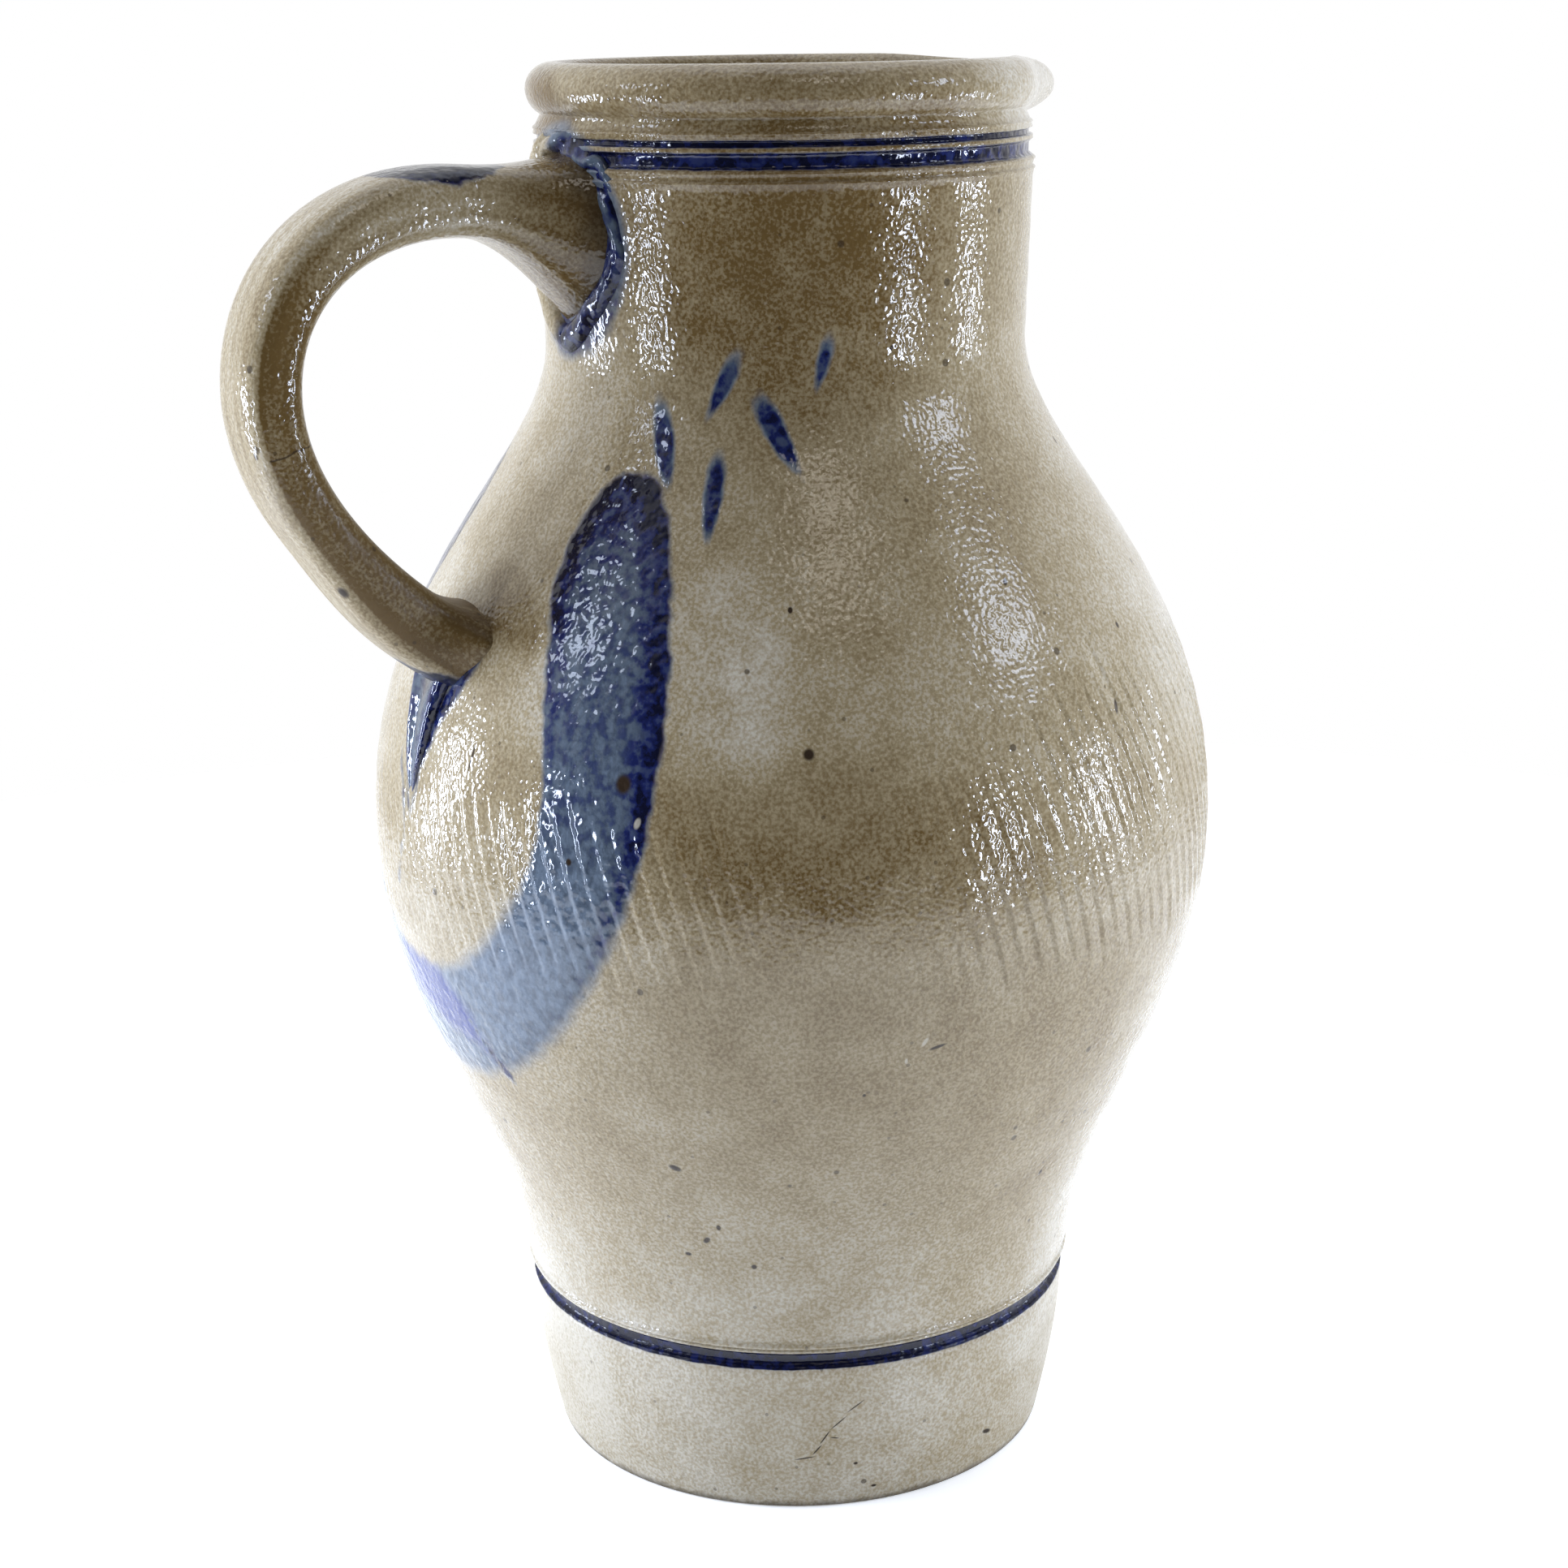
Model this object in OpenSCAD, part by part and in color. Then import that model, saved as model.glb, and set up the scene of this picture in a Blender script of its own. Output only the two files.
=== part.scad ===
// Salt-glazed stoneware jug: a thrown pot with a pulled spout, a strap handle luted on at the neck and the
// shoulder, cobalt bands in turned grooves, and cobalt brushstrokes round the handle's roots.
// The origin is the middle of the base. +Z is up, the handle points along -X and the spout along +X.

/* [Foot] */
// Radius of the foot where it stands
foot_base_r = 44.2; // [38:0.1:47]
// Radius at the top of the foot
foot_top_r = 48.3; // [46:0.1:54]
// Height of the foot, up to its cobalt band
foot_h = 28.8; // [22:0.1:36]

/* [Belly] */
// Radius of the belly at its widest
belly_r = 72.4; // [66:0.1:84]
// Height of the widest place above the table
belly_z = 114; // [104:1:124]
// Thickness of the thrown wall
wall = 5.5; // [4:0.1:7]
// Thickness of the floor
floor_t = 9; // [6:0.5:14]

/* [Neck and collar] */
// Height of the jug, from the table to the rim
jug_h = 240; // [230:1:270]
// Length of the neck with its collar, down from the rim
neck_len = 45; // [40:1:50]
// Radius at the bottom of the neck
neck_r = 40.1; // [38:0.1:44]
// How much the neck widens up to its bands
neck_flare = 1; // [0.2:0.1:3]
// Height of the rounded collar
collar_h = 8.7; // [7:0.1:10]
// How far the collar stands out from the neck
collar_out = 1; // [0.6:0.1:2]

/* [Spout] */
// How far the pulled spout stands out from the neck
spout_out = 12.6; // [8:0.1:16]
// Height of the pulled spout, down from the rim
spout_h = 10.7; // [9:0.1:11.5]
// Half of the angle that the pull bends the collar over
spout_half_angle = 34; // [28:1:44]
// Thickness of the lip at the spout's tip
spout_lip = 3.6; // [2.5:0.1:5]

/* [Handle] */
// Distance of the strap's centre line from the jug's axis, at its farthest
handle_reach = 92.4; // [86:0.1:104]
// Drop of the upper root's centre below the rim
upper_root_drop = 27.5; // [26:0.1:32]
// Drop of the handle's farthest place below the rim
handle_out_drop = 48; // [44:0.1:54]
// Drop of the lower root's centre below the rim
lower_root_drop = 92; // [86:0.1:98]
// Width of the strap
strap_w = 17; // [13:0.1:22]
// Thickness of the strap
strap_t = 9.8; // [8:0.1:12]
// How far the upper root flares beyond the strap, up and down
root_flare_h = 10.5; // [5:0.1:11]
// How far the upper root flares beyond the strap, sideways
root_flare_w = 4.6; // [2:0.1:8]

/* [Luting] */
// Width of the clay seam thumbed round the upper root
seam_w = 2.2; // [1.5:0.1:4]
// Thickness of that seam
seam_t = 1.3; // [0.8:0.1:2]
// Length of the tail smeared down from the lower root
tail_len = 25; // [16:1:34]
// Half width of the tail at its root
tail_r = 8; // [6:0.1:9]
// How far the tail stands proud of the belly
tail_proud = 3; // [2:0.1:4]

/* [Cobalt] */
// Height of the band above the foot
foot_band_w = 2.4; // [1.5:0.1:4]
// Height of the broad band on the neck
broad_band_w = 2.7; // [1.5:0.1:3.5]
// Height of the fine band under the collar
fine_band_w = 1.2; // [0.8:0.1:2]
// Depth of the grooves that hold the bands
groove_d = 0.7; // [0.5:0.1:1]
// Thickness of the cobalt
cobalt_t = 0.4; // [0.3:0.05:0.45]
// Half width of the big loop, along its middle
loop_half_w = 40; // [34:0.5:44]
// Drop of the loop's top below the foot of the neck, along its middle
loop_drop = 23; // [20:0.5:28]
// Drop of the loop's lowest place below the tail's tip, along its middle
loop_tail_drop = 36; // [32:0.5:42]
// Width of the loop's brushstroke
loop_stroke_w = 18; // [12:0.5:20]
// Width of the stroke that outlines the tail
tail_stroke_w = 3.2; // [2:0.1:5]
// Length of the stroke on top of the handle
handle_stroke_len = 18; // [10:0.5:22]
// Width of the stroke on top of the handle
handle_stroke_w = 8; // [4:0.5:10]
// Length of each dab on the shoulder
dab_len = 13; // [8:0.5:16]
// Width of each dab on the shoulder
dab_w = 4.4; // [3:0.1:6]

/* [Hidden] */
$fn = 144;

// Overrun of a cutting shape past the face that it cuts
over = 2;
// Rounding of the base's edge
foot_bevel = 0.8;
// Beads turned beside the bands: their height, and how far they stand out
bead_w = 0.9;
bead_out = 0.45;
// Plain clay between the two bands of the neck, and between the fine band and the collar
band_gap = 0.6;
collar_gap = 2.5;
// Rounding between the floor and the wall inside, and its pulls as shares of its own size
floor_round = 12;
floor_pull_shares = [[0.1, 0.7], [0.7, 0]];
// Steps along each curved stretch of the outline, and along each half of the handle
outline_steps = 14;
handle_steps = 18;
// Sides of the strap's section
strap_sides = 20;
// Depth to which the handle's ends run into the wall before they are cut to it
root_sink = 3;
// Length over which each root flares
root_flare_len = 21;

// Pull of each belly curve at its two ends, as shares of the curve's own radius step and height
lower_pull_shares = [[0.08, 0.33], [0, 0.42]];
upper_pull_shares = [[0, 0.52], [0, 0.235]];
foot_pull_shares = [[0.55, 0.36], [0.06, 0.36]];

foot_band_z = foot_h;
lower_z = foot_band_z + foot_band_w + 2 * bead_w;
lower_r = foot_top_r + bead_w;
neck_z = jug_h - neck_len;
neck_top_r = neck_r + neck_flare;
collar_z = jug_h - collar_h;
fine_band_z = collar_z - collar_gap - fine_band_w;
broad_band_z = fine_band_z - band_gap - broad_band_w;
neck_bead_z = broad_band_z - 2 * bead_w - band_gap;
groove_r = neck_top_r - groove_d;
collar_r = neck_top_r + collar_out;
neck_inner_r = neck_r - wall + bead_out;

// A point on a cubic curve with the four control points p, at t from 0 to 1
function cubic(p, t) =
    pow(1 - t, 3) * p[0] + 3 * t * pow(1 - t, 2) * p[1] + 3 * t * t * (1 - t) * p[2] + pow(t, 3) * p[3];

// The slope of that curve
function cubic_slope(p, t) =
    pow(1 - t, 2) * (p[1] - p[0]) + 2 * t * (1 - t) * (p[2] - p[1]) + t * t * (p[3] - p[2]);

// Control points of a stretch of outline from a to b, pulled at its ends by shares of its own size
function stretch(a, b, shares) = [
    a,
    [a[0] + shares[0][0] * (b[0] - a[0]), a[1] + shares[0][1] * (b[1] - a[1])],
    [b[0] - shares[1][0] * (b[0] - a[0]), b[1] - shares[1][1] * (b[1] - a[1])],
    b
];

// Points along that stretch, without its first point
function stretch_points(a, b, shares, steps) =
    let (p = stretch(a, b, shares)) [for (i = [1:steps]) cubic(p, i / steps)];

// A turned bead that stands out from radius r and starts at height z
function bead(r, z) = [[r, z], [r + bead_out, z + bead_w / 2], [r, z + bead_w]];

// A turned groove for a band of height w
function groove(r, z, w) = [[r, z], [r - groove_d, z], [r - groove_d, z + w], [r, z + w]];

foot_points = concat(
    [[foot_base_r - foot_bevel, 0], [foot_base_r, foot_bevel]],
    stretch_points([foot_base_r, foot_bevel], [foot_top_r, foot_h], foot_pull_shares, outline_steps / 2),
    [[foot_top_r - groove_d, foot_band_z], [foot_top_r - groove_d, foot_band_z + foot_band_w]],
    bead(foot_top_r, foot_band_z + foot_band_w),
    bead(foot_top_r + bead_w / 2, foot_band_z + foot_band_w + bead_w)
);
belly_points = concat(
    [[lower_r, lower_z]],
    stretch_points([lower_r, lower_z], [belly_r, belly_z], lower_pull_shares, outline_steps),
    stretch_points([belly_r, belly_z], [neck_r, neck_z], upper_pull_shares, outline_steps)
);
neck_points = concat(
    [[neck_top_r, neck_bead_z - bead_w]],
    bead(neck_top_r, neck_bead_z),
    bead(neck_top_r, neck_bead_z + bead_w + band_gap),
    groove(neck_top_r, broad_band_z, broad_band_w),
    groove(neck_top_r, fine_band_z, fine_band_w),
    bead(neck_top_r - bead_out, fine_band_z + fine_band_w + bead_w / 2)
);

// The collar is round outside and over the rim: an upright half oval, then a smaller one down to the inside
collar_round = collar_r - (neck_inner_r + wall / 2);
rim_round = wall / 2;
rim_mid_r = collar_r - collar_round;
collar_mid_z = collar_z + collar_h / 2;
collar_start_angle = -62;
collar_steps = 9;
collar_points = [for (i = [0:collar_steps]) let (a = collar_start_angle + i / collar_steps
    * (90 - collar_start_angle)) [rim_mid_r + collar_round * cos(a), collar_mid_z + collar_h / 2 * sin(a)]];
rim_steps = 5;
rim_points = [for (i = [1:rim_steps]) let (a = 90 + i / rim_steps * 90)
    [rim_mid_r + rim_round * cos(a), jug_h - rim_round + rim_round * sin(a)]];
outer_points = concat(foot_points, belly_points, neck_points, collar_points);

// The inside follows the outside at the wall's thickness, down to a rounded floor
inner_floor_r = foot_top_r - 2 * wall;
inner_points = concat(
    [[neck_inner_r, neck_z]],
    stretch_points([neck_inner_r, neck_z], [belly_r - wall, belly_z],
        [upper_pull_shares[1], upper_pull_shares[0]], outline_steps),
    stretch_points([belly_r - wall, belly_z], [inner_floor_r + wall, floor_t + floor_round],
        [lower_pull_shares[1], lower_pull_shares[0]], outline_steps),
    stretch_points([inner_floor_r + wall, floor_t + floor_round], [inner_floor_r - floor_round / 2, floor_t],
        floor_pull_shares, outline_steps / 2),
    [[0, floor_t]]
);

// Radius of the pot's outside at height z
function pot_r(z) = lookup(z, [for (p = outer_points) [p[1], p[0]]]);

// A solid through a list of closed sections that all have the same number of points, capped or joined in a ring
module loft(sections, ring = false) {
    count = len(sections[0]);
    last = len(sections) - 1;
    sides = [for (i = [0:ring ? last : last - 1], j = [0:count - 1]) let (
        k = (j + 1) % count, a = i * count, b = (i + 1) % (last + 1) * count)
        each [[a + j, a + k, b + k], [a + j, b + k, b + j]]];
    caps = [[for (j = [count - 1:-1:0]) j], [for (j = [0:count - 1]) last * count + j]];
    polyhedron([for (s = sections) each s], ring ? sides : concat(sides, caps));
}

// The pot's outside as a solid, without its cavity: what lies on the pot is cut to it
module pot_form() {
    rotate_extrude() polygon(concat([[0, 0]], outer_points, [[0, jug_h]]));
}

// Points [radius, height] of the spout's section at its middle, as shares of spout_out and spout_h
spout_nose_shares = [[0, 0], [0.36, 0.13], [0.72, 0.32], [0.93, 0.52], [1, 0.7], [0.95, 0.86], [0.82, 0.94]];
// The same for the floor of the pouring channel, from the mouth out to the lip
channel_floor_shares = [[-0.6, -0.3], [-0.3, 0], [0, 0.26], [0.36, 0.58], [0.66, 0.86], [0.8, 1.1]];
spout_columns = 22;
// Share of the spout's section, and of the channel's, that is left at their two sides
side_share = 0.1;
// Share of the wall's thickness that the channel leaves at its start
channel_wall_share = 0.65;
spout_start_r = neck_top_r - bead_out;
spout_low_z = jug_h - spout_h;
channel_start_r = spout_start_r - spout_lip + wall * channel_wall_share;

// How much of the pull reaches the collar at angle a from the spout's middle: 1 there, 0 at its sides
function pull(a) = pow(cos(a / spout_half_angle * 90), 2);

// A section [radius, height] moved to angle a round the axis
function turned(section, a) = [for (p = section) [p[0] * cos(a), p[0] * sin(a), p[1]]];

// Between two lists of points: the first at share 0, the second at share 1
function between(low, high, share) = [for (i = [0:len(low) - 1]) low[i] + (high[i] - low[i]) * share];

// The pulled lip, which grows from within the collar's wall
module spout_lip_solid() {
    nose = concat(
        [for (s = spout_nose_shares) [spout_start_r + s[0] * spout_out, spout_low_z + s[1] * spout_h]],
        [[rim_mid_r, jug_h], [rim_mid_r, spout_low_z]]);
    core = [for (p = nose) [rim_mid_r + (p[0] - rim_mid_r) * side_share,
        spout_low_z + spout_h / 4 + (p[1] - spout_low_z) / 2]];
    loft([for (i = [0:spout_columns]) let (a = (2 * i / spout_columns - 1) * spout_half_angle)
        turned(between(core, nose, pull(a)), a)]);
}

// The pouring channel, which grows from within the mouth
module spout_channel() {
    deep = concat(
        [for (s = channel_floor_shares) [channel_start_r + s[0] * spout_out, spout_low_z + s[1] * spout_h]],
        [[neck_inner_r - wall, jug_h + over], [neck_inner_r - wall, spout_low_z]]);
    shallow = [for (p = deep) [neck_inner_r - wall / 2 + (p[0] - neck_inner_r) * side_share, p[1]]];
    loft([for (i = [0:spout_columns]) let (a = (2 * i / spout_columns - 1) * spout_half_angle)
        turned(between(shallow, deep, pull(a)), a)]);
}

module thrown_pot() {
    color("#b3ab9a") difference() {
        union() {
            rotate_extrude() polygon(concat([[0, 0]], outer_points, rim_points, inner_points));
            spout_lip_solid();
        }
        spout_channel();
    }
}

// The strap's centre line in the XZ plane, as [radius, height]: out from the neck, round, and down to the belly
upper_root = [pot_r(jug_h - upper_root_drop) - root_sink, jug_h - upper_root_drop];
handle_out = [handle_reach, jug_h - handle_out_drop];
lower_root = [pot_r(jug_h - lower_root_drop) - root_sink, jug_h - lower_root_drop];
// Pulls of the centre line at the roots and at its farthest place, as shares of each half's own size
upper_half_shares = [[0.48, -0.72], [0, 1.18]];
lower_half_shares = [[0, 0.31], [0.69, 0.34]];
upper_line = stretch(upper_root, handle_out, upper_half_shares);
lower_line = stretch(handle_out, lower_root, lower_half_shares);

// How sharply the flares swell near the wall, and how much smaller the lower one is, sideways and in thickness
flare_power = 2.2;
low_flare_shares = [0.17, 0.25];

// Growth of the strap towards a root, 1 in the wall and 0 past the flare
function flare(distance) = pow(max(0, 1 - distance / root_flare_len), flare_power);

// Share by which the strap's section stands parallel to the neck at distance from the upper root's start
function squared(distance) = max(0, 1 - distance / root_flare_len);

// Roundness of the strap's corners: 1 makes the section an oval, and less makes it boxier
corner_power = 0.86;

// The strap's section at point p of the centre line, across direction s: flat sides and round corners
function strap_section(p, s, half_w, half_t) =
    let (out = [-s[1], s[0]] / norm(s))
    [for (j = [0:strap_sides - 1]) let (
        a = j * 360 / strap_sides,
        w = half_w * sign(cos(a)) * pow(abs(cos(a)), corner_power),
        h = half_t * sign(sin(a)) * pow(abs(sin(a)), corner_power))
        [-(p[0] + out[0] * h), w, p[1] + out[1] * h]];

// The strap's section at step i of the whole handle, grown by a skin's thickness
function handle_section(i, grown) =
    let (
        upper = i <= handle_steps,
        t = upper ? i / handle_steps : (i - handle_steps) / handle_steps,
        line = upper ? upper_line : lower_line,
        p = cubic(line, t),
        slope = cubic_slope(line, t),
        from_neck = p[0] - upper_root[0] + (upper ? 0 : root_flare_len),
        top = flare(from_neck),
        low = flare(p[1] - lower_root[1] + (upper ? root_flare_len : 0)),
        across = slope / norm(slope) * (1 - squared(from_neck)) + [1, 0] * squared(from_neck))
    strap_section(p, across, strap_w / 2 + root_flare_w * (top + low_flare_shares[0] * low) + grown,
        strap_t / 2 + root_flare_h * top + root_flare_w * low_flare_shares[1] * low + grown);

// The whole strap between two of its steps
module strap(first, last, grown) {
    loft([for (i = [first:last]) handle_section(i, grown)]);
}

module strap_handle() {
    color("#a39375") difference() {
        strap(0, 2 * handle_steps, 0);
        pot_form();
    }
}

// Outline of an upright oval with half width a and half height b, round height z
function oval(a, b, z, sides) = [for (i = [0:sides - 1])
    let (t = i * 360 / sides) [a * cos(t), z + b * sin(t)]];

// An outline [y, z] pushed through the handle's side of the pot
module through_handle_side(outline) {
    rotate([90, 0, -90]) linear_extrude(belly_r + over) polygon([for (p = outline) [-p[0], p[1]]]);
}

// Clay or cobalt of thickness t lying on the outline points of the pot
module skin(points, t) {
    rotate_extrude() polygon(concat(points, [for (i = [len(points) - 1:-1:0]) points[i] + [t, 0]]));
}

// The thumbed seam is a roll of clay that follows an upright oval on the neck, round the upper root
seam_steps = 36;
seam_sides = 10;
seam_sink = 0.8;
seam_outline = oval(strap_w / 2 + root_flare_w + seam_w, strap_t / 2 + root_flare_h + seam_w,
    jug_h - upper_root_drop, seam_steps);

// The roll's section at angle a of the oval, laid on the neck's round face
function seam_section(a) = [for (j = [0:seam_sides - 1]) let (
    b = -j * 360 / seam_sides,
    out = seam_w * (cos(b) - 1),
    y = (strap_w / 2 + root_flare_w + seam_w + out) * cos(a),
    z = jug_h - upper_root_drop + (strap_t / 2 + root_flare_h + seam_w + out) * sin(a),
    r = neck_top_r - seam_sink + (seam_t + seam_sink) * sin(b))
    [-sqrt(r * r - y * y), y, z]];

module seam_form() {
    loft([for (i = [0:seam_steps - 1]) seam_section(i * 360 / seam_steps)], true);
}

module upper_root_seam() {
    color("#5b6280") difference() {
        seam_form();
        pot_form();
        strap(0, handle_steps / 2, 0);
    }
}

// The tail is a long drop shape sunk into the belly, leaning as the belly does there
tail_top_z = jug_h - lower_root_drop + bead_w;
tail_tip_z = tail_top_z - tail_len;
tail_lean = atan2(pot_r(tail_tip_z) - pot_r(tail_top_z), tail_len);
tail_steps = 10;
tail_slope = atan2(tail_r - tail_proud, tail_len);
// How long the tail keeps its width, and the points of its buried back as shares of its half width
tail_power = 1.8;
tail_back_shares = [[0, 0.5], [0.8, 0.33]];
tail_profile = [for (i = [0:tail_steps]) let (t = i / tail_steps)
    [tail_r * (1 - pow(t, tail_power)), -tail_len * t]];

module tail_form() {
    translate([-(pot_r(tail_top_z) - tail_r + tail_proud), 0, tail_top_z])
        rotate([0, tail_lean + tail_slope, 0]) rotate_extrude()
            polygon(concat([for (s = tail_back_shares) s * tail_r], tail_profile));
}

module lower_root_tail() {
    color("#a8a08e") difference() {
        tail_form();
        pot_form();
        strap(handle_steps, 2 * handle_steps, 0);
    }
}

// Cobalt in a groove of height w at height z, whose floor has radius r
module band(r, z, w) {
    skin([[r, z], [r, z + w]], cobalt_t);
}

module foot_cobalt_band() {
    color("#2b4a8f") band(foot_top_r - groove_d, foot_band_z, foot_band_w);
}

// The neck's bands stop where the seam covers their grooves
module broad_neck_cobalt_band() {
    color("#26407f") difference() {
        band(groove_r, broad_band_z, broad_band_w);
        through_handle_side(seam_outline);
    }
}

module fine_neck_cobalt_band() {
    color("#1e3372") difference() {
        band(groove_r, fine_band_z, fine_band_w);
        through_handle_side(seam_outline);
    }
}

// Crowding of a brushstroke's points towards its rounded tip
stroke_step_power = 1.5;

// Outline of a brushstroke of width w along a cubic line: blunt where it starts, and cut square where it ends
function stroke_side(line, w, side, steps, tip_share) = [for (i = [0:steps]) let (
    t = pow(i / steps, stroke_step_power),
    s = cubic_slope(line, t),
    n = [-s[1], s[0]] / norm(s),
    f = min(1, t / tip_share),
    h = w / 2 * sqrt(1 - pow(1 - f, 2)))
    cubic(line, t) + side * h * n];

// The loop hangs between the foot of the neck and the space under the tail
loop_low_z = tail_tip_z - loop_tail_drop;
loop_h = neck_z - loop_drop - loop_low_z;
loop_line_shares = [[0.5, 1], [1.25, 0.74], [1.15, 0.094], [0, 0]];
loop_line = [for (s = loop_line_shares) [s[0] * loop_half_w, loop_low_z + s[1] * loop_h]];
loop_steps = 14;
// Share of the line over which the brush's tip widens
loop_tip_share = 0.1;

module loop_brushstroke() {
    outside = stroke_side(loop_line, loop_stroke_w, 1, loop_steps, loop_tip_share);
    inside = stroke_side(loop_line, loop_stroke_w, -1, loop_steps, loop_tip_share);
    half = concat(outside, [for (i = [loop_steps:-1:1]) inside[i]]);
    color("#3f5ea8") intersection() {
        skin(belly_points, cobalt_t);
        union() {
            through_handle_side(half);
            through_handle_side([for (p = half) [-p[0], p[1]]]);
        }
    }
}

// Two strokes run down beside the tail, meet under its tip and trail off
tail_line_shares = [[1.3, 1.02], [1.15, 0.55], [0.2, 0.25], [0, -0.75]];
tail_line = [for (s = tail_line_shares) [s[0] * tail_r, tail_tip_z + s[1] * tail_len]];
tail_stroke_steps = 10;
tail_tip_share = 0.2;

module tail_brushstroke() {
    outside = stroke_side(tail_line, tail_stroke_w, 1, tail_stroke_steps, tail_tip_share);
    inside = stroke_side(tail_line, tail_stroke_w, -1, tail_stroke_steps, tail_tip_share);
    half = concat(outside, [for (i = [tail_stroke_steps:-1:1]) inside[i]]);
    color("#2b459a") difference() {
        intersection() {
            skin(belly_points, cobalt_t);
            union() {
                through_handle_side(half);
                through_handle_side([for (p = half) [-p[0], p[1]]]);
            }
        }
        tail_form();
        strap(handle_steps, 2 * handle_steps, 0);
    }
}

// The handle's brushstroke lies over the first steps of the strap, where it leaves the neck
handle_stroke_x = pot_r(jug_h - upper_root_drop) + root_flare_len / 3;
handle_stroke_sides = 10;

module handle_brushstroke() {
    color("#26407f") difference() {
        intersection() {
            strap(2, handle_steps, cobalt_t);
            translate([-handle_stroke_x, 0, jug_h - upper_root_drop + strap_t / 2])
                linear_extrude(upper_root_drop) polygon([for (i = [0:handle_stroke_sides - 1])
                    let (a = i * 360 / handle_stroke_sides)
                    [handle_stroke_len / 2 * (cos(a) - 1), handle_stroke_w / 2 * sin(a)]]);
        }
        strap(0, handle_steps + 2, 0);
    }
}

// Loose dabs on the shoulder beside the handle, each [angle from the handle, height above the foot of the
// neck in dab lengths, tilt, size share]
dab_shares = [
    [34, -0.93, 20, 1],
    [46, -0.25, -25, 0.8],
    [58, -0.81, 30, 1],
    [46, -1.49, 0, 0.9],
    [68, 0, -15, 0.6]
];
dab_sides = 16;

module shoulder_dabs() {
    color("#33508f") for (d = dab_shares) {
        z = neck_z + d[1] * dab_len;
        intersection() {
            skin(concat(belly_points, [neck_points[0]]), cobalt_t);
            rotate(d[0]) rotate([90, 0, -90]) linear_extrude(belly_r) translate([0, z]) rotate(d[2])
                polygon(oval(dab_w / 2 * d[3], dab_len / 2 * d[3], 0, dab_sides));
        }
    }
}

thrown_pot();
strap_handle();
upper_root_seam();
lower_root_tail();
foot_cobalt_band();
broad_neck_cobalt_band();
fine_neck_cobalt_band();
loop_brushstroke();
tail_brushstroke();
handle_brushstroke();
shoulder_dabs();
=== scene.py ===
"""Dresses a packed stoneware jug: a thrown pot and its luted strap handle, in salt glaze and cobalt."""

import math
from types import SimpleNamespace

import bpy
import numpy as np
from bpy.props import FloatProperty, FloatVectorProperty, IntProperty, PointerProperty
from mathutils import Matrix, Vector


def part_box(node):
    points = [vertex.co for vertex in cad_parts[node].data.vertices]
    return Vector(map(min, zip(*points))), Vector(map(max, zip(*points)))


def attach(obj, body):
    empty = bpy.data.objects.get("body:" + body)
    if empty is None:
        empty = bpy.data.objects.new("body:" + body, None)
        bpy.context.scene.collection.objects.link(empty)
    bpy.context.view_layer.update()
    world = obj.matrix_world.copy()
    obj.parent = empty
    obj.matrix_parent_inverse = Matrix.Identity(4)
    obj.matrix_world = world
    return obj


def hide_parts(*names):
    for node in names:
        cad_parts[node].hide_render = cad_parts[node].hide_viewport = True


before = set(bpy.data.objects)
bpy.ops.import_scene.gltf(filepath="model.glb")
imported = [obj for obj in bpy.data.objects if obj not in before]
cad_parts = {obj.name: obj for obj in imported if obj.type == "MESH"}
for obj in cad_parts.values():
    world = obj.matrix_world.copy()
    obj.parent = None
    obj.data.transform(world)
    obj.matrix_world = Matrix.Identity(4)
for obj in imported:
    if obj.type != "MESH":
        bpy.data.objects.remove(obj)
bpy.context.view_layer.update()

bl_info = {
    "name": "Salt-glazed jug",
    "version": (1, 0, 0),
    "blender": (4, 5, 0),
    "location": "3D View > Sidebar > Jug",
    "description": "Makes a thrown, salt-glazed jug with a strap handle and cobalt brushwork",
    "category": "Object",
}

MM = 0.001
JUG_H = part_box("thrown_pot")[1].z / MM

# Small sizes in millimetres and degrees, as in the part's source
FOOT_BEVEL = 0.8
BEAD_W = 0.9
BEAD_OUT = 0.45
BAND_GAP = 0.6
COLLAR_GAP = 2.5
COLLAR_START = -62
FLOOR_ROUND = 12
ROOT_SINK = 3
ROOT_FLARE_LEN = 21
SPOUT_HALF_ANGLE = 34

# Pulls of each curve at its two ends, as shares of the curve's own radius step and height, and the soft
# edge of a groove: where it starts in millimetres, and the share of the groove's height at which it ends
LOWER_PULL = ((0.08, 0.33), (0, 0.42))
UPPER_PULL = ((0, 0.52), (0, 0.235))
FOOT_PULL = ((0.55, 0.36), (0.06, 0.36))
FLOOR_PULL = ((0.1, 0.7), (0.7, 0))
UPPER_HALF_PULL = ((0.48, -0.72), (0, 1.18))
LOWER_HALF_PULL = ((0, 0.31), (0.69, 0.34))
GROOVE_START, GROOVE_EDGE = -0.05, 0.22

# The spout's outer line and the channel on top of it, as shares of its reach and height, and the height in
# millimetres down to which the channel runs
SPOUT_NOSE = ((0, 0), (0.5, 0.1), (0.88, 0.26), (1, 0.42), (1, 0.57), (0.88, 0.74), (0.7, 0.84))
SPOUT_CHANNEL = ((0.72, 0.87), (0.5, 0.68), (0.2, 0.4), (-0.05, 0.18), (-0.32, -0.1), (-0.44, -0.5))
CHANNEL_LOW = 222

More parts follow.
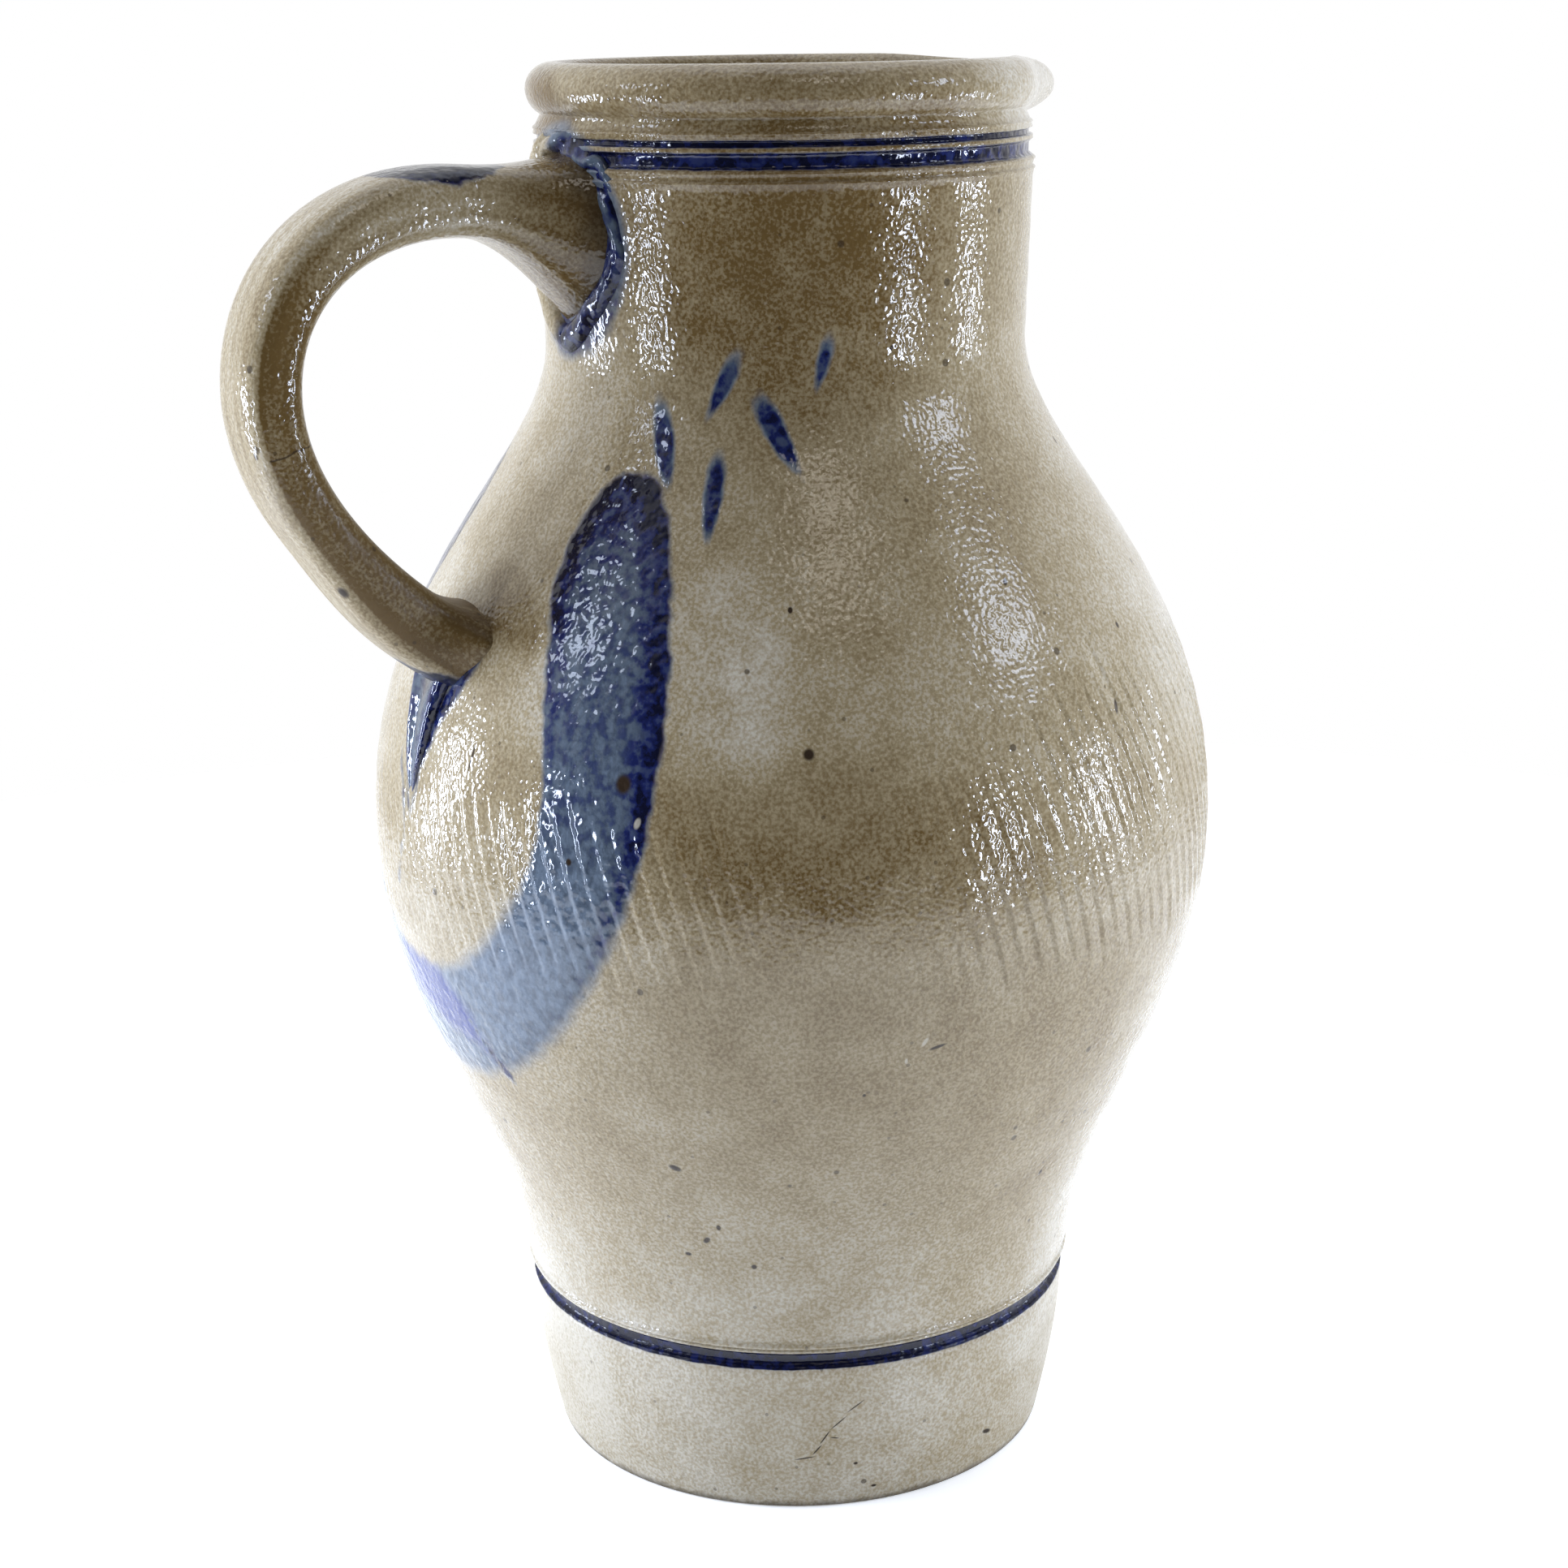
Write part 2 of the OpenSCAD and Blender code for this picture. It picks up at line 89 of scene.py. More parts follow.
# Rings of the base and the floor with their columns, columns round the pot, heights between its rows,
# where the finer rows lie, steps of its curves, and how nearly rows and turns have to agree
BASE_RINGS = ((14, 24), (32, 96))
FLOOR_RINGS = ((20, 72), (8, 24), (0, 1))
PLAIN_COLUMNS, PAINTED_COLUMNS, BAND_COLUMNS, INSIDE_COLUMNS = 240, 480, 288, 128
COLUMNS_PER_MARK = 8
PLAIN_STEP, PAINTED_STEP = 2.3, 1.7
PAINT_LOW, PAINT_ABOVE_NECK = 76, 8
ROWS_BELOW_MARKS, ROWS_ABOVE_MARKS = 3, 23
FOOT_STEPS, BEAD_STEPS, GROOVE_STEPS, BELLY_STEPS = 12, 5, 9, 120
COLLAR_STEPS, RIM_STEPS, INSIDE_STEPS, SOFT_STEPS = 15, 8, 24, 6
ROW_SLACK, TURN_SLACK = 0.1, 0.1


def length(name, description, mm):
    """A length that the user can change, given in millimetres."""
    return FloatProperty(name=name, description=description, default=mm * MM, unit="LENGTH")


def linear(hex_colour):
    """An sRGB hex colour as linear red, green, blue and alpha."""
    parts = [int(hex_colour[i:i + 2], 16) / 255 for i in (1, 3, 5)]
    return [c / 12.92 if c <= 0.04045 else ((c + 0.055) / 1.055) ** 2.4 for c in parts] + [1.0]


def colour(name, description, hex_colour):
    """A colour that the user can change, given as sRGB hex."""
    return FloatVectorProperty(name=name, description=description, default=linear(hex_colour), size=4,
                               subtype="COLOR", min=0, max=1)


class JugForm(bpy.types.PropertyGroup):
    """Sizes of the thrown pot"""

    foot_base_r: length("Foot radius", "Radius of the foot where it stands", 44.2)
    foot_top_r: length("Foot top radius", "Radius at the top of the foot", 48.3)
    foot_h: length("Foot height", "Height of the foot, up to its cobalt band", 28.8)
    belly_r: length("Belly radius", "Radius of the belly at its widest", 72.4)
    belly_z: length("Belly height", "Height of the widest place above the table", 114)
    wall: length("Wall", "Thickness of the thrown wall", 5.5)
    floor_t: length("Floor", "Thickness of the floor", 9)
    jug_h: length("Height", "Height from the table to the rim", JUG_H)
    neck_len: length("Neck length", "Length of the neck with its collar", 45)
    neck_r: length("Neck radius", "Radius at the bottom of the neck", 40.1)
    neck_flare: length("Neck flare", "How much the neck widens up to its bands", 1)
    collar_h: length("Collar height", "Height of the rounded collar", 8.7)
    collar_out: length("Collar overhang", "How far the collar stands out", 1)
    spout_out: length("Spout reach", "How far the pulled spout stands out", 10.4)
    spout_h: length("Spout height", "Height of the pulled spout, down from the rim", 10.7)


class JugHandle(bpy.types.PropertyGroup):
    """Sizes of the strap handle and of the clay that fixes it"""

    reach: length("Reach", "Distance of the strap's middle from the jug's axis", 92.4)
    upper_drop: length("Upper root", "Drop of the upper root below the rim", 27.5)
    out_drop: length("Farthest place", "Drop of the farthest place below the rim", 48)
    lower_drop: length("Lower root", "Drop of the lower root below the rim", 92)
    strap_w: length("Strap width", "Width of the strap", 17)
    strap_t: length("Strap thickness", "Thickness of the strap", 9.8)
    flare_h: length("Flare height", "Growth of the upper root, up and down", 10.5)
    flare_w: length("Flare width", "Growth of the upper root, sideways", 4.6)
    fillet: length("Lower fillet", "Growth of the lower root where it meets the belly", 4.4)
    seam_w: length("Seam width", "Width of the thumbed seam", 2.6)
    seam_t: length("Seam thickness", "Thickness of the thumbed seam", 1)
    tail_len: length("Tail length", "Length of the tail smeared down the belly", 25)
    tail_r: length("Tail half width", "Half width of the tail at its root", 8)
    tail_proud: length("Tail height", "How far the tail stands proud of the belly", 3)


class JugMarks(bpy.types.PropertyGroup):
    """The potter's marks and the cobalt's bands and dabs"""

    mark_count: IntProperty(name="Chatter marks", description="Marks of the turning tool round the belly",
                            default=132, min=1)
    mark_lean: FloatProperty(name="Mark lean", description="Lean of the marks from upright", default=0.305,
                             subtype="ANGLE", unit="ROTATION")
    mark_depth: length("Mark depth", "Depth of each chatter mark", 0.33)
    mark_low: length("Lowest mark", "Height where the chatter marks start", 103)
    mark_high: length("Highest mark", "Height where the chatter marks end", 129)
    ring_pitch: length("Finger ring pitch", "Spacing of the potter's finger rings", 7)
    ring_depth: length("Finger ring depth", "Depth of the finger rings inside", 0.7)
    wobble: length("Wobble", "How far the pot is out of round", 0.5)
    foot_band_w: length("Foot band", "Height of the band above the foot", 2.4)
    broad_band_w: length("Broad band", "Height of the broad band on the neck", 2.7)
    fine_band_w: length("Fine band", "Height of the fine band under the collar", 1.2)
    groove_d: length("Groove depth", "Depth of the grooves that hold the bands", 0.7)
    dab_len: length("Dab length", "Length of each dab on the shoulder", 13)
    dab_w: length("Dab width", "Width of each dab on the shoulder", 4.4)


class JugColours(bpy.types.PropertyGroup):
    """Colours of the fired clay and of the cobalt, from thin to thick"""

    pale_clay: colour("Pale clay", "Grey body where the salt vapour stayed thin", "#b7b0a1")
    toned_clay: colour("Toned clay", "Beige glaze over most of the pot", "#908265")
    brown_clay: colour("Brown clay", "Brown glaze where the flame was hottest", "#5d4928")
    iron: colour("Iron", "Specks of iron in the clay", "#2e2319")
    thin_cobalt: colour("Thin cobalt", "Wash that the clay shows through", "#5f6b79")
    slate_cobalt: colour("Slate cobalt", "Brushed coat, greyed by the clay", "#454f5c")
    thick_cobalt: colour("Thick cobalt", "Blue where the brush left a pool", "#141d4b")
    deep_cobalt: colour("Deepest cobalt", "Near black navy at the edges of a pool", "#070a20")
    violet_cobalt: colour("Violet cobalt", "Where thin cobalt pooled over pale clay", "#353e74")


def sizes():
    """All lengths that the pieces share, in millimetres, with the heights that follow from them."""
    scene = bpy.context.scene
    s = SimpleNamespace()
    for group in (scene.jug_form, scene.jug_handle, scene.jug_marks):
        for name in group.__annotations__:
            setattr(s, name, getattr(group, name) / MM)
    s.mark_count = scene.jug_marks.mark_count
    s.lean_per_mm = math.tan(scene.jug_marks.mark_lean) / s.belly_r
    s.lower_z = s.foot_h + s.foot_band_w + 2 * BEAD_W
    s.lower_r = s.foot_top_r + BEAD_W
    s.neck_z = s.jug_h - s.neck_len
    s.neck_top_r = s.neck_r + s.neck_flare
    s.collar_z = s.jug_h - s.collar_h
    s.fine_band_z = s.collar_z - COLLAR_GAP - s.fine_band_w
    s.broad_band_z = s.fine_band_z - BAND_GAP - s.broad_band_w
    s.neck_bead_z = s.broad_band_z - 2 * BEAD_W - BAND_GAP
    s.neck_inner_r = s.neck_r - s.wall + BEAD_OUT
    s.rim_mid_r = s.neck_inner_r + s.wall / 2
    s.inner_floor_r = s.foot_top_r - 2 * s.wall
    s.upper_z = s.jug_h - s.upper_drop
    s.lower_root_z = s.jug_h - s.lower_drop
    s.tail_top_z = s.lower_root_z + BEAD_W
    s.seam_half_w = s.strap_w / 2 + s.flare_w + s.seam_w
    s.seam_half_h = s.strap_t / 2 + s.flare_h + s.seam_w
    return s


# Curves and lathe rows

def smooth(x, low, high):
    """A soft step: 0 up to low and 1 from high on."""
    t = np.clip((np.asarray(x, float) - low) / (high - low), 0, 1)
    return t * t * (3 - 2 * t)


def stretch(a, b, pulls, steps):
    """Rows of a stretch of outline from a to b, without a, pulled at both ends by shares of its size."""
    a, b = np.array(a, float), np.array(b, float)
    first = a + np.array(pulls[0]) * (b - a)
    last = b - np.array(pulls[1]) * (b - a)
    t = (np.arange(1, steps + 1) / steps)[:, None]
    return (1 - t) ** 3 * a + 3 * t * (1 - t) ** 2 * first + 3 * t * t * (1 - t) * last + t ** 3 * b


def soft_line(stations, steps):
    """A smooth line through stations, with steps between each two of them."""
    p = np.array([stations[0], *stations, stations[-1]], float)
    t = np.arange(steps)[:, None] / steps
    parts = []
    for a, b, c, d in zip(p, p[1:], p[2:], p[3:]):
        parts.append(b + t * (c - a) / 2 + t * t * (a - 2.5 * b + 2 * c - d / 2)
                     + t ** 3 * (1.5 * (b - c) + (d - a) / 2))
    return np.vstack(parts + [p[-1:]])


def runs(path):
    """The run along a path at each of its points."""
    return np.concatenate([[0], np.cumsum(np.hypot(*np.diff(path, axis=0).T[:2]))])


def bead_rows(r, z):
    """A turned bead that stands out from radius r and starts at height z."""
    shares = [i / BEAD_STEPS for i in range(1, BEAD_STEPS + 1)]
    return [(r + BEAD_OUT * math.sin(math.pi * share), z + BEAD_W * share) for share in shares]


def groove_rows(s, r, z, w):
    """A turned groove of height w, with the soft edges that the glaze gives it."""
    up = w * np.arange(GROOVE_STEPS + 1) / GROOVE_STEPS
    depth = s.groove_d * smooth(np.minimum(up, w - up), GROOVE_START, w * GROOVE_EDGE)
    return np.column_stack([r - depth, z + up])


def outer_curve(s):
    """The belly's outline, finely stepped, from the bead above the foot to the foot of the neck."""
    lower = stretch((s.lower_r, s.lower_z), (s.belly_r, s.belly_z), LOWER_PULL, BELLY_STEPS)
    upper = stretch((s.belly_r, s.belly_z), (s.neck_r, s.neck_z), UPPER_PULL, BELLY_STEPS)
    return np.vstack([[(s.lower_r, s.lower_z)], lower, upper])


def pot_r(s, z):
    """Radius of the pot's outside at height z, without beads, grooves or collar."""
    curve = outer_curve(s)
    heights = np.concatenate([[0, s.foot_h], curve[:, 1], [s.neck_bead_z]])
    radii = np.concatenate([[s.foot_base_r, s.foot_top_r], curve[:, 0], [s.neck_top_r]])
    return np.interp(z, heights, radii)


def even_rows(curve, low, high, step):
    """Rows at even heights on a finely stepped curve, from above low up to high."""
    count = max(1, round((high - low) / step))
    z = low + (high - low) * np.arange(1, count + 1) / count
    return np.column_stack([np.interp(z, curve[:, 1], curve[:, 0]), z])


def pot_rows(s):
    """The pot's outline as rows (radius, height, columns, outside), from the middle of the base over the
    rim to the middle of the floor."""
    rows = []

    def add(points, columns, outside=1.0):
        rows.extend((float(r), float(z), columns, outside) for r, z in points)

    add([(0, 0)], 1)
    for r, columns in BASE_RINGS:
        add([(r, 0)], columns)
    edge = s.foot_base_r - FOOT_BEVEL
    add([(edge, 0), (edge + FOOT_BEVEL * 0.75, FOOT_BEVEL / 4), (s.foot_base_r, FOOT_BEVEL)], PLAIN_COLUMNS)
    foot = stretch((s.foot_base_r, FOOT_BEVEL), (s.foot_top_r, s.foot_h), FOOT_PULL, FOOT_STEPS)
    add(foot, PLAIN_COLUMNS)
    add(groove_rows(s, s.foot_top_r, s.foot_h, s.foot_band_w), PLAIN_COLUMNS)
    add(bead_rows(s.foot_top_r, s.foot_h + s.foot_band_w), PLAIN_COLUMNS)
    add(bead_rows(s.foot_top_r + BEAD_W / 2, s.foot_h + s.foot_band_w + BEAD_W), PLAIN_COLUMNS)
    curve = outer_curve(s)
    low, high = s.mark_low - ROWS_BELOW_MARKS, s.mark_high + ROWS_ABOVE_MARKS
    add(even_rows(curve, s.lower_z, PAINT_LOW, PLAIN_STEP), PLAIN_COLUMNS)
    add(even_rows(curve, PAINT_LOW, low, PAINTED_STEP), PAINTED_COLUMNS)
    add(even_rows(curve, low, high, PAINTED_STEP), round(s.mark_count) * COLUMNS_PER_MARK)
    add(even_rows(curve, high, s.neck_z, PAINTED_STEP), PAINTED_COLUMNS)
    neck = np.array([(s.neck_r, s.neck_z), (s.neck_top_r, s.neck_bead_z - BEAD_W)])
    add(even_rows(neck, s.neck_z, s.neck_z + PAINT_ABOVE_NECK, PAINTED_STEP), PAINTED_COLUMNS)
    add(even_rows(neck, s.neck_z + PAINT_ABOVE_NECK, neck[1, 1], PAINTED_STEP), PLAIN_COLUMNS)
    add(bead_rows(s.neck_top_r, s.neck_bead_z), BAND_COLUMNS)
    add(bead_rows(s.neck_top_r, s.neck_bead_z + BEAD_W + BAND_GAP), BAND_COLUMNS)
    add(groove_rows(s, s.neck_top_r, s.broad_band_z, s.broad_band_w), BAND_COLUMNS)
    add(groove_rows(s, s.neck_top_r, s.fine_band_z, s.fine_band_w), BAND_COLUMNS)
    add(bead_rows(s.neck_top_r - BEAD_OUT, s.fine_band_z + s.fine_band_w + BEAD_W / 2), BAND_COLUMNS)
    collar_round = s.neck_top_r + s.collar_out - s.rim_mid_r
    turns = np.radians(np.linspace(COLLAR_START, 90, COLLAR_STEPS))
    add(zip(s.rim_mid_r + collar_round * np.cos(turns), s.collar_z + s.collar_h / 2 * (1 + np.sin(turns))),
        BAND_COLUMNS)
    rim_round = s.wall / 2
    turns = np.radians(np.linspace(90, 180, RIM_STEPS)[1:])
    add(zip(s.rim_mid_r + rim_round * np.cos(turns), s.jug_h - rim_round * (1 - np.sin(turns))),
        BAND_COLUMNS, outside=0.0)
    straight = np.array([(s.neck_inner_r, s.neck_z), (s.neck_inner_r, s.jug_h - rim_round)])
    add(even_rows(straight, s.jug_h - rim_round, CHANNEL_LOW, -PAINTED_STEP), BAND_COLUMNS, outside=0.0)
    add(even_rows(straight, CHANNEL_LOW, s.neck_z, -PLAIN_STEP), INSIDE_COLUMNS, outside=0.0)
    inside = [(s.neck_inner_r, s.neck_z), (s.belly_r - s.wall, s.belly_z),
              (s.inner_floor_r + s.wall, s.floor_t + FLOOR_ROUND),
              (s.inner_floor_r - FLOOR_ROUND / 2, s.floor_t)]
    for a, b, pulls in zip(inside, inside[1:], (UPPER_PULL[::-1], LOWER_PULL[::-1], FLOOR_PULL)):
        add(stretch(a, b, pulls, INSIDE_STEPS), INSIDE_COLUMNS, outside=0.0)
    for r, columns in FLOOR_RINGS:
        add([(r, s.floor_t)], columns, outside=0.0)
    return rows


def pulled_rows(s, rows):
    """Where each collar row stands in the middle of the spout: its radius and height there, by row."""
    start = np.array([s.neck_top_r - BEAD_OUT, s.jug_h - s.spout_h])
    size = np.array([s.spout_out, s.spout_h])
    outer = [i for i, row in enumerate(rows) if row[3] and row[1] >= start[1]]
    inner = [i for i, row in enumerate(rows) if not row[3] and row[1] > CHANNEL_LOW - ROW_SLACK]
    nose = start + np.array(SPOUT_NOSE) * size
    channel = start + np.array(SPOUT_CHANNEL) * size
    channel = np.vstack([nose[-1:], channel, [(s.neck_inner_r, CHANNEL_LOW)]])
    found = {}
    for indices, path in ((outer, soft_line(nose, SOFT_STEPS)), (inner, soft_line(channel, SOFT_STEPS))):
        run = runs(np.array([rows[i][:2] for i in indices]))
        path_run = runs(path)
        share = run / run[-1] * path_run[-1]
        pulled = zip(np.interp(share, path_run, path[:, 0]), np.interp(share, path_run, path[:, 1]))
        found.update(zip(indices, pulled))
    return found


def zipped(a, b, n, m, turn_a, turn_b):
    """Triangles between two rings of n and m points, whose first points a and b each have their angle."""
    shift = round((turn_a - turn_b) / (math.tau / m))
    faces = []
    i = j = 0
    while i < n or j < m:
        reach_a = turn_a + math.tau * (i + 1) / n
        reach_b = turn_b + math.tau * (shift + j + 1) / m
        here_a, here_b = a + i % n, b + (shift + j) % m
        if j >= m or (i < n and reach_a <= reach_b):
            faces.append((here_a, a + (i + 1) % n, here_b))
            i += 1
        else:
            faces.append((here_a, b + (shift + j + 1) % m, here_b))
            j += 1
    return faces


def lathe_pot(s):
    """Vertices in millimetres, faces, and each vertex's turned height and side, with the pulled spout."""
    rows = pot_rows(s)
    pulled = pulled_rows(s, rows)
    points, heights, outside, rings = [], [], [], []
    for i, (r, z, columns, side) in enumerate(rows):
        marked = columns == round(s.mark_count) * COLUMNS_PER_MARK
        turn = -(z - s.mark_low) * s.lean_per_mm if marked else 0.0
        angle = turn + math.tau * np.arange(columns) / columns
        off = np.abs(np.degrees((angle + math.pi) % math.tau - math.pi))
        pull = np.where(off < SPOUT_HALF_ANGLE, np.cos(np.radians(off / SPOUT_HALF_ANGLE * 90)) ** 2, 0)
        far_r, far_z = pulled.get(i, (r, z))
        radius, height = r + pull * (far_r - r), z + pull * (far_z - z)
        rings.append((len(heights), columns, turn))
        points.append(np.column_stack([radius * np.cos(angle), radius * np.sin(angle), height]))
        heights.extend([z] * columns)
        outside.extend([side] * columns)
    faces = []
    for (a, n, turn_a), (b, m, turn_b) in zip(rings, rings[1:]):
        if n == 1:
            faces.extend((a, b + (j + 1) % m, b + j) for j in range(m))
        elif m == 1:
            faces.extend((a + i, a + (i + 1) % n, b) for i in range(n))
        elif n == m and abs(turn_a - turn_b) < TURN_SLACK:
            faces.extend((a + i, a + (i + 1) % n, b + (i + 1) % n, b + i) for i in range(n))
        else:
            faces.extend(zipped(a, b, n, m, turn_a, turn_b))
    return np.vstack(points), faces, np.array(heights), np.array(outside)


# Brushwork: strokes as stations (degrees from the handle, height, half width in millimetres)

LOOP = ((27, 176, 2.5), (28, 171.5, 7), (29.6, 164.2, 9.2), (31.8, 157.5, 9.6), (34, 146, 10.4),
        (34.8, 134.4, 9.9), (33.7, 124.3, 9.8), (31.2, 115, 9.8), (25.3, 104, 10.3), (16.4, 93.7, 10.5),
        (5, 88, 10.8), (-3, 87.3, 10.4))
STROKES = {
    "crescent": ((10, 151, 0.8), (8.6, 148.9, 1.7), (6.8, 145.6, 2), (5.2, 141.4, 1.8), (3.8, 137.7, 1.5),
                 (2.7, 133.8, 1.1), (1.8, 130.1, 0.7), (1, 125.7, 0.45), (0, 121.7, 0.3)),
    "trickle": ((-4.8, 133, 0.3), (-4.4, 130, 0.5), (-2.8, 126.8, 0.45), (-1.5, 121.3, 0.35),
                (-2.6, 116, 0.2), (-3.7, 112.5, 0.5), (-4.2, 109.3, 0.4)),
    "pool": ((20.5, 214, 0.6), (19.5, 209.5, 1), (17, 206, 1.7), (12.4, 203, 2.2), (7.5, 200.3, 2),
             (2.5, 197.8, 1.5), (-2, 195.4, 1)),
    "violet": ((-19, 96, 1), (-12, 94.5, 3.4), (-4, 93, 5.4), (2.5, 92, 6), (7, 89.5, 4.6), (10, 86.5, 2.4),
               (12.3, 83, 1)),
    "streak": ((9.5, 90, 0.4), (11, 87, 0.9), (12.6, 84, 1.1), (14.4, 81.3, 1.4), (15.2, 80.1, 1)),
}
MIRRORED = ("crescent", "pool")

# The dabs: degrees from the handle, rise above the neck's foot in dab lengths, tilt in degrees, and size.
# A dab's width is a share at its middle, grows towards its top, and has a least share
DABS = ((34, -0.93, 20, 1), (46, -0.25, -25, 0.8), (58, -0.81, 30, 1), (46, -1.49, 0, 0.9),
        (68, 0, -15, 0.6))
DAB_MIDDLE, DAB_GROWTH, DAB_LEAST = 0.75, 0.5, 0.4

# The depth of a point that no paint reaches
FAR = -50.0


def stroke_field(s, angle, z, stations):
    """For points at angles and heights: how deep each lies within a brushstroke, its place along the
    stroke from 0 to 1, and its place across it from -1 to 1."""
    line = soft_line(stations, SOFT_STEPS)
    path = np.column_stack([np.radians(line[:, 0]) * pot_r(s, line[:, 1]), line[:, 1]])
    run = runs(path)
    here = np.column_stack([np.radians(angle) * pot_r(s, z), z])
    depth = np.full(len(here), FAR)
    along, across = np.zeros(len(here)), np.zeros(len(here))
    for k, (a, b) in enumerate(zip(path, path[1:])):
        t = np.clip((here - a) @ (b - a) / ((b - a) @ (b - a)), 0, 1)
        off = here - a - t[:, None] * (b - a)
        distance = np.hypot(*off.T)
        half = line[k, 2] + t * (line[k + 1, 2] - line[k, 2])
        better = half - distance > depth
        side = np.sign(off[:, 1] * (b - a)[0] - off[:, 0] * (b - a)[1])
        depth = np.where(better, half - distance, depth)
        along = np.where(better, (run[k] + t * (run[k + 1] - run[k])) / run[-1], along)
        across = np.where(better, side * distance / half, across)
    return depth, along, across


def oval_field(x, y, half_w, half_h):
    """Roughly how deep each point lies within an upright oval round the origin."""
    return (1 - np.hypot(x / half_w, y / half_h)) * (half_w + half_h) / 2


def dab_field(s, angle, z):
    """How deep each point lies within one of the shoulder's dabs."""
    depth = np.full(len(z), FAR)
    for place, rise, tilt, size in DABS:
        middle_z = s.neck_z + rise * s.dab_len
        x = np.radians(angle - place) * pot_r(s, middle_z)
        y = z - middle_z
        lean = math.radians(tilt)
        along = y * math.cos(lean) - x * math.sin(lean)
        across = x * math.cos(lean) + y * math.sin(lean)
        taper = np.clip(DAB_MIDDLE + DAB_GROWTH * along / (s.dab_len * size), DAB_LEAST, 1)
        half_w, half_h = s.dab_w / 2 * size, s.dab_len / 2 * size
        depth = np.maximum(depth, oval_field(across / taper, along, half_w, half_h))
    return depth


def paint_fields(s, points, heights, outside):
    """The brushwork's fields for the pot's vertices, as a dictionary of attribute names and values."""
    angle = np.degrees(np.arctan2(-points[:, 1], -points[:, 0]))
    hidden = np.where(outside > 0.5, 0, FAR)
    loop, run, side = stroke_field(s, np.abs(angle), heights, LOOP)
    fields = {"turned_height": heights, "outside": outside, "loop": loop + hidden, "loop_run": run,
              "loop_side": side, "dabs": dab_field(s, angle, heights) + hidden}
    for name, stations in STROKES.items():
        depth = stroke_field(s, angle, heights, stations)[0]
        if name in MIRRORED:
            depth = np.maximum(depth, stroke_field(s, -angle, heights, stations)[0])
        fields[name] = depth + hidden
    root = oval_field(points[:, 1], heights - s.upper_z, s.seam_half_w, s.seam_half_h)
    fields["root"] = root + hidden + np.where(points[:, 0] < 0, 0, FAR)
    return fields


def new_mesh(name, points, faces, fields=None):
    """A mesh object in metres from points in millimetres, with a value per vertex for each field."""
    mesh = bpy.data.meshes.new(name)
    mesh.from_pydata((np.asarray(points, float) * MM).tolist(), [], faces)
    for field_name, values in (fields or {}).items():
        attribute = mesh.attributes.new(field_name, "FLOAT", "POINT")
        attribute.data.foreach_set("value", np.asarray(values, np.float32))
    mesh.polygons.foreach_set("use_smooth", [True] * len(mesh.polygons))
    piece = bpy.data.objects.new(name, mesh)
    bpy.context.scene.collection.objects.link(piece)
    return piece


# Nodes

class Value:
    """One output of a node. Arithmetic on it adds Math nodes to its tree."""

    def __init__(self, node, key=0):
        self.node = node
        self.key = key

    def __getitem__(self, key):
        return Value(self.node, key)

    def math(self, operation, *others):
        return add_node(self.node.id_data, "ShaderNodeMath", self, *others, operation=operation)

    def __add__(self, other):
        return self.math("ADD", other)

    def __sub__(self, other):
        return self.math("SUBTRACT", other)

    def __mul__(self, other):
        return self.math("MULTIPLY", other)

    def most(self, other):
        return self.math("MAXIMUM", other)

    def change(self, low, high, first=0.0, last=1.0):
        """A soft change from first to last while this value goes from low to high."""
        return add_node(self.node.id_data, "ShaderNodeMapRange", self, low, high, first, last,
                        interpolation_type="SMOOTHSTEP")

    def swing(self, amount, reach=0.2):
        """A pattern's swing to both sides of its middle, from minus the amount to the amount."""
        return self.change(0.5 - reach, 0.5 + reach, -amount, amount)


def add_node(tree, kind, *values, stops=None, named=None, **settings):
    """Adds a node with its settings. Values fill its inputs in order, and named ones by name. Another
    node's value is linked, and None leaves an input alone. Stops are a colour ramp's places and
    colours."""
    node = tree.nodes.new(kind)
    for name, setting in settings.items():
        setattr(node, name, setting)
    for key, value in [*enumerate(values), *(named or {}).items()]:
        if isinstance(value, Value):
            tree.links.new(value.node.outputs[value.key], node.inputs[key])
        elif value is not None:
            node.inputs[key].default_value = value
    if stops:
        ramp = node.color_ramp.elements
        while len(ramp) < len(stops):
            ramp.new(0.5)
        for element, (place, shade) in zip(ramp, stops):
            element.position = place
            element.color = shade
    return Value(node)


def patterns(tree, place, sizes, seed=None):
    """Noise for each named pattern, from the size of its features in millimetres, and its detail and
    distortion where it has its own."""
    made = SimpleNamespace()
    for name, (size, *more) in sizes.items():
        inputs = {"Scale": 1 / (size * MM), **dict(zip(("Detail", "Distortion"), more))}
        if seed is not None:
            inputs["W"] = seed
        setattr(made, name, add_node(tree, "ShaderNodeTexNoise", place, named=inputs,
                                     noise_dimensions="3D" if seed is None else "4D"))
    return made


def stored_values(tree, *names):
    """Numbers that were stored on the mesh, by name."""
    return SimpleNamespace(**{name: add_node(tree, "ShaderNodeAttribute", attribute_name=name)["Fac"]
                              for name in names})


def new_tree(name, *numbers):
    """A geometry tree that takes a blank, numbers and a glaze, and the values that it is given."""
    tree = bpy.data.node_groups.new(name, "GeometryNodeTree")
    tree.interface.new_socket("Blank", in_out="INPUT", socket_type="NodeSocketGeometry")
    for number in numbers:
        tree.interface.new_socket(number, in_out="INPUT", socket_type="NodeSocketFloat")
    tree.interface.new_socket("Glaze", in_out="INPUT", socket_type="NodeSocketMaterial")
    tree.interface.new_socket("Piece", in_out="OUTPUT", socket_type="NodeSocketGeometry")
    return tree, add_node(tree, "NodeGroupInput")


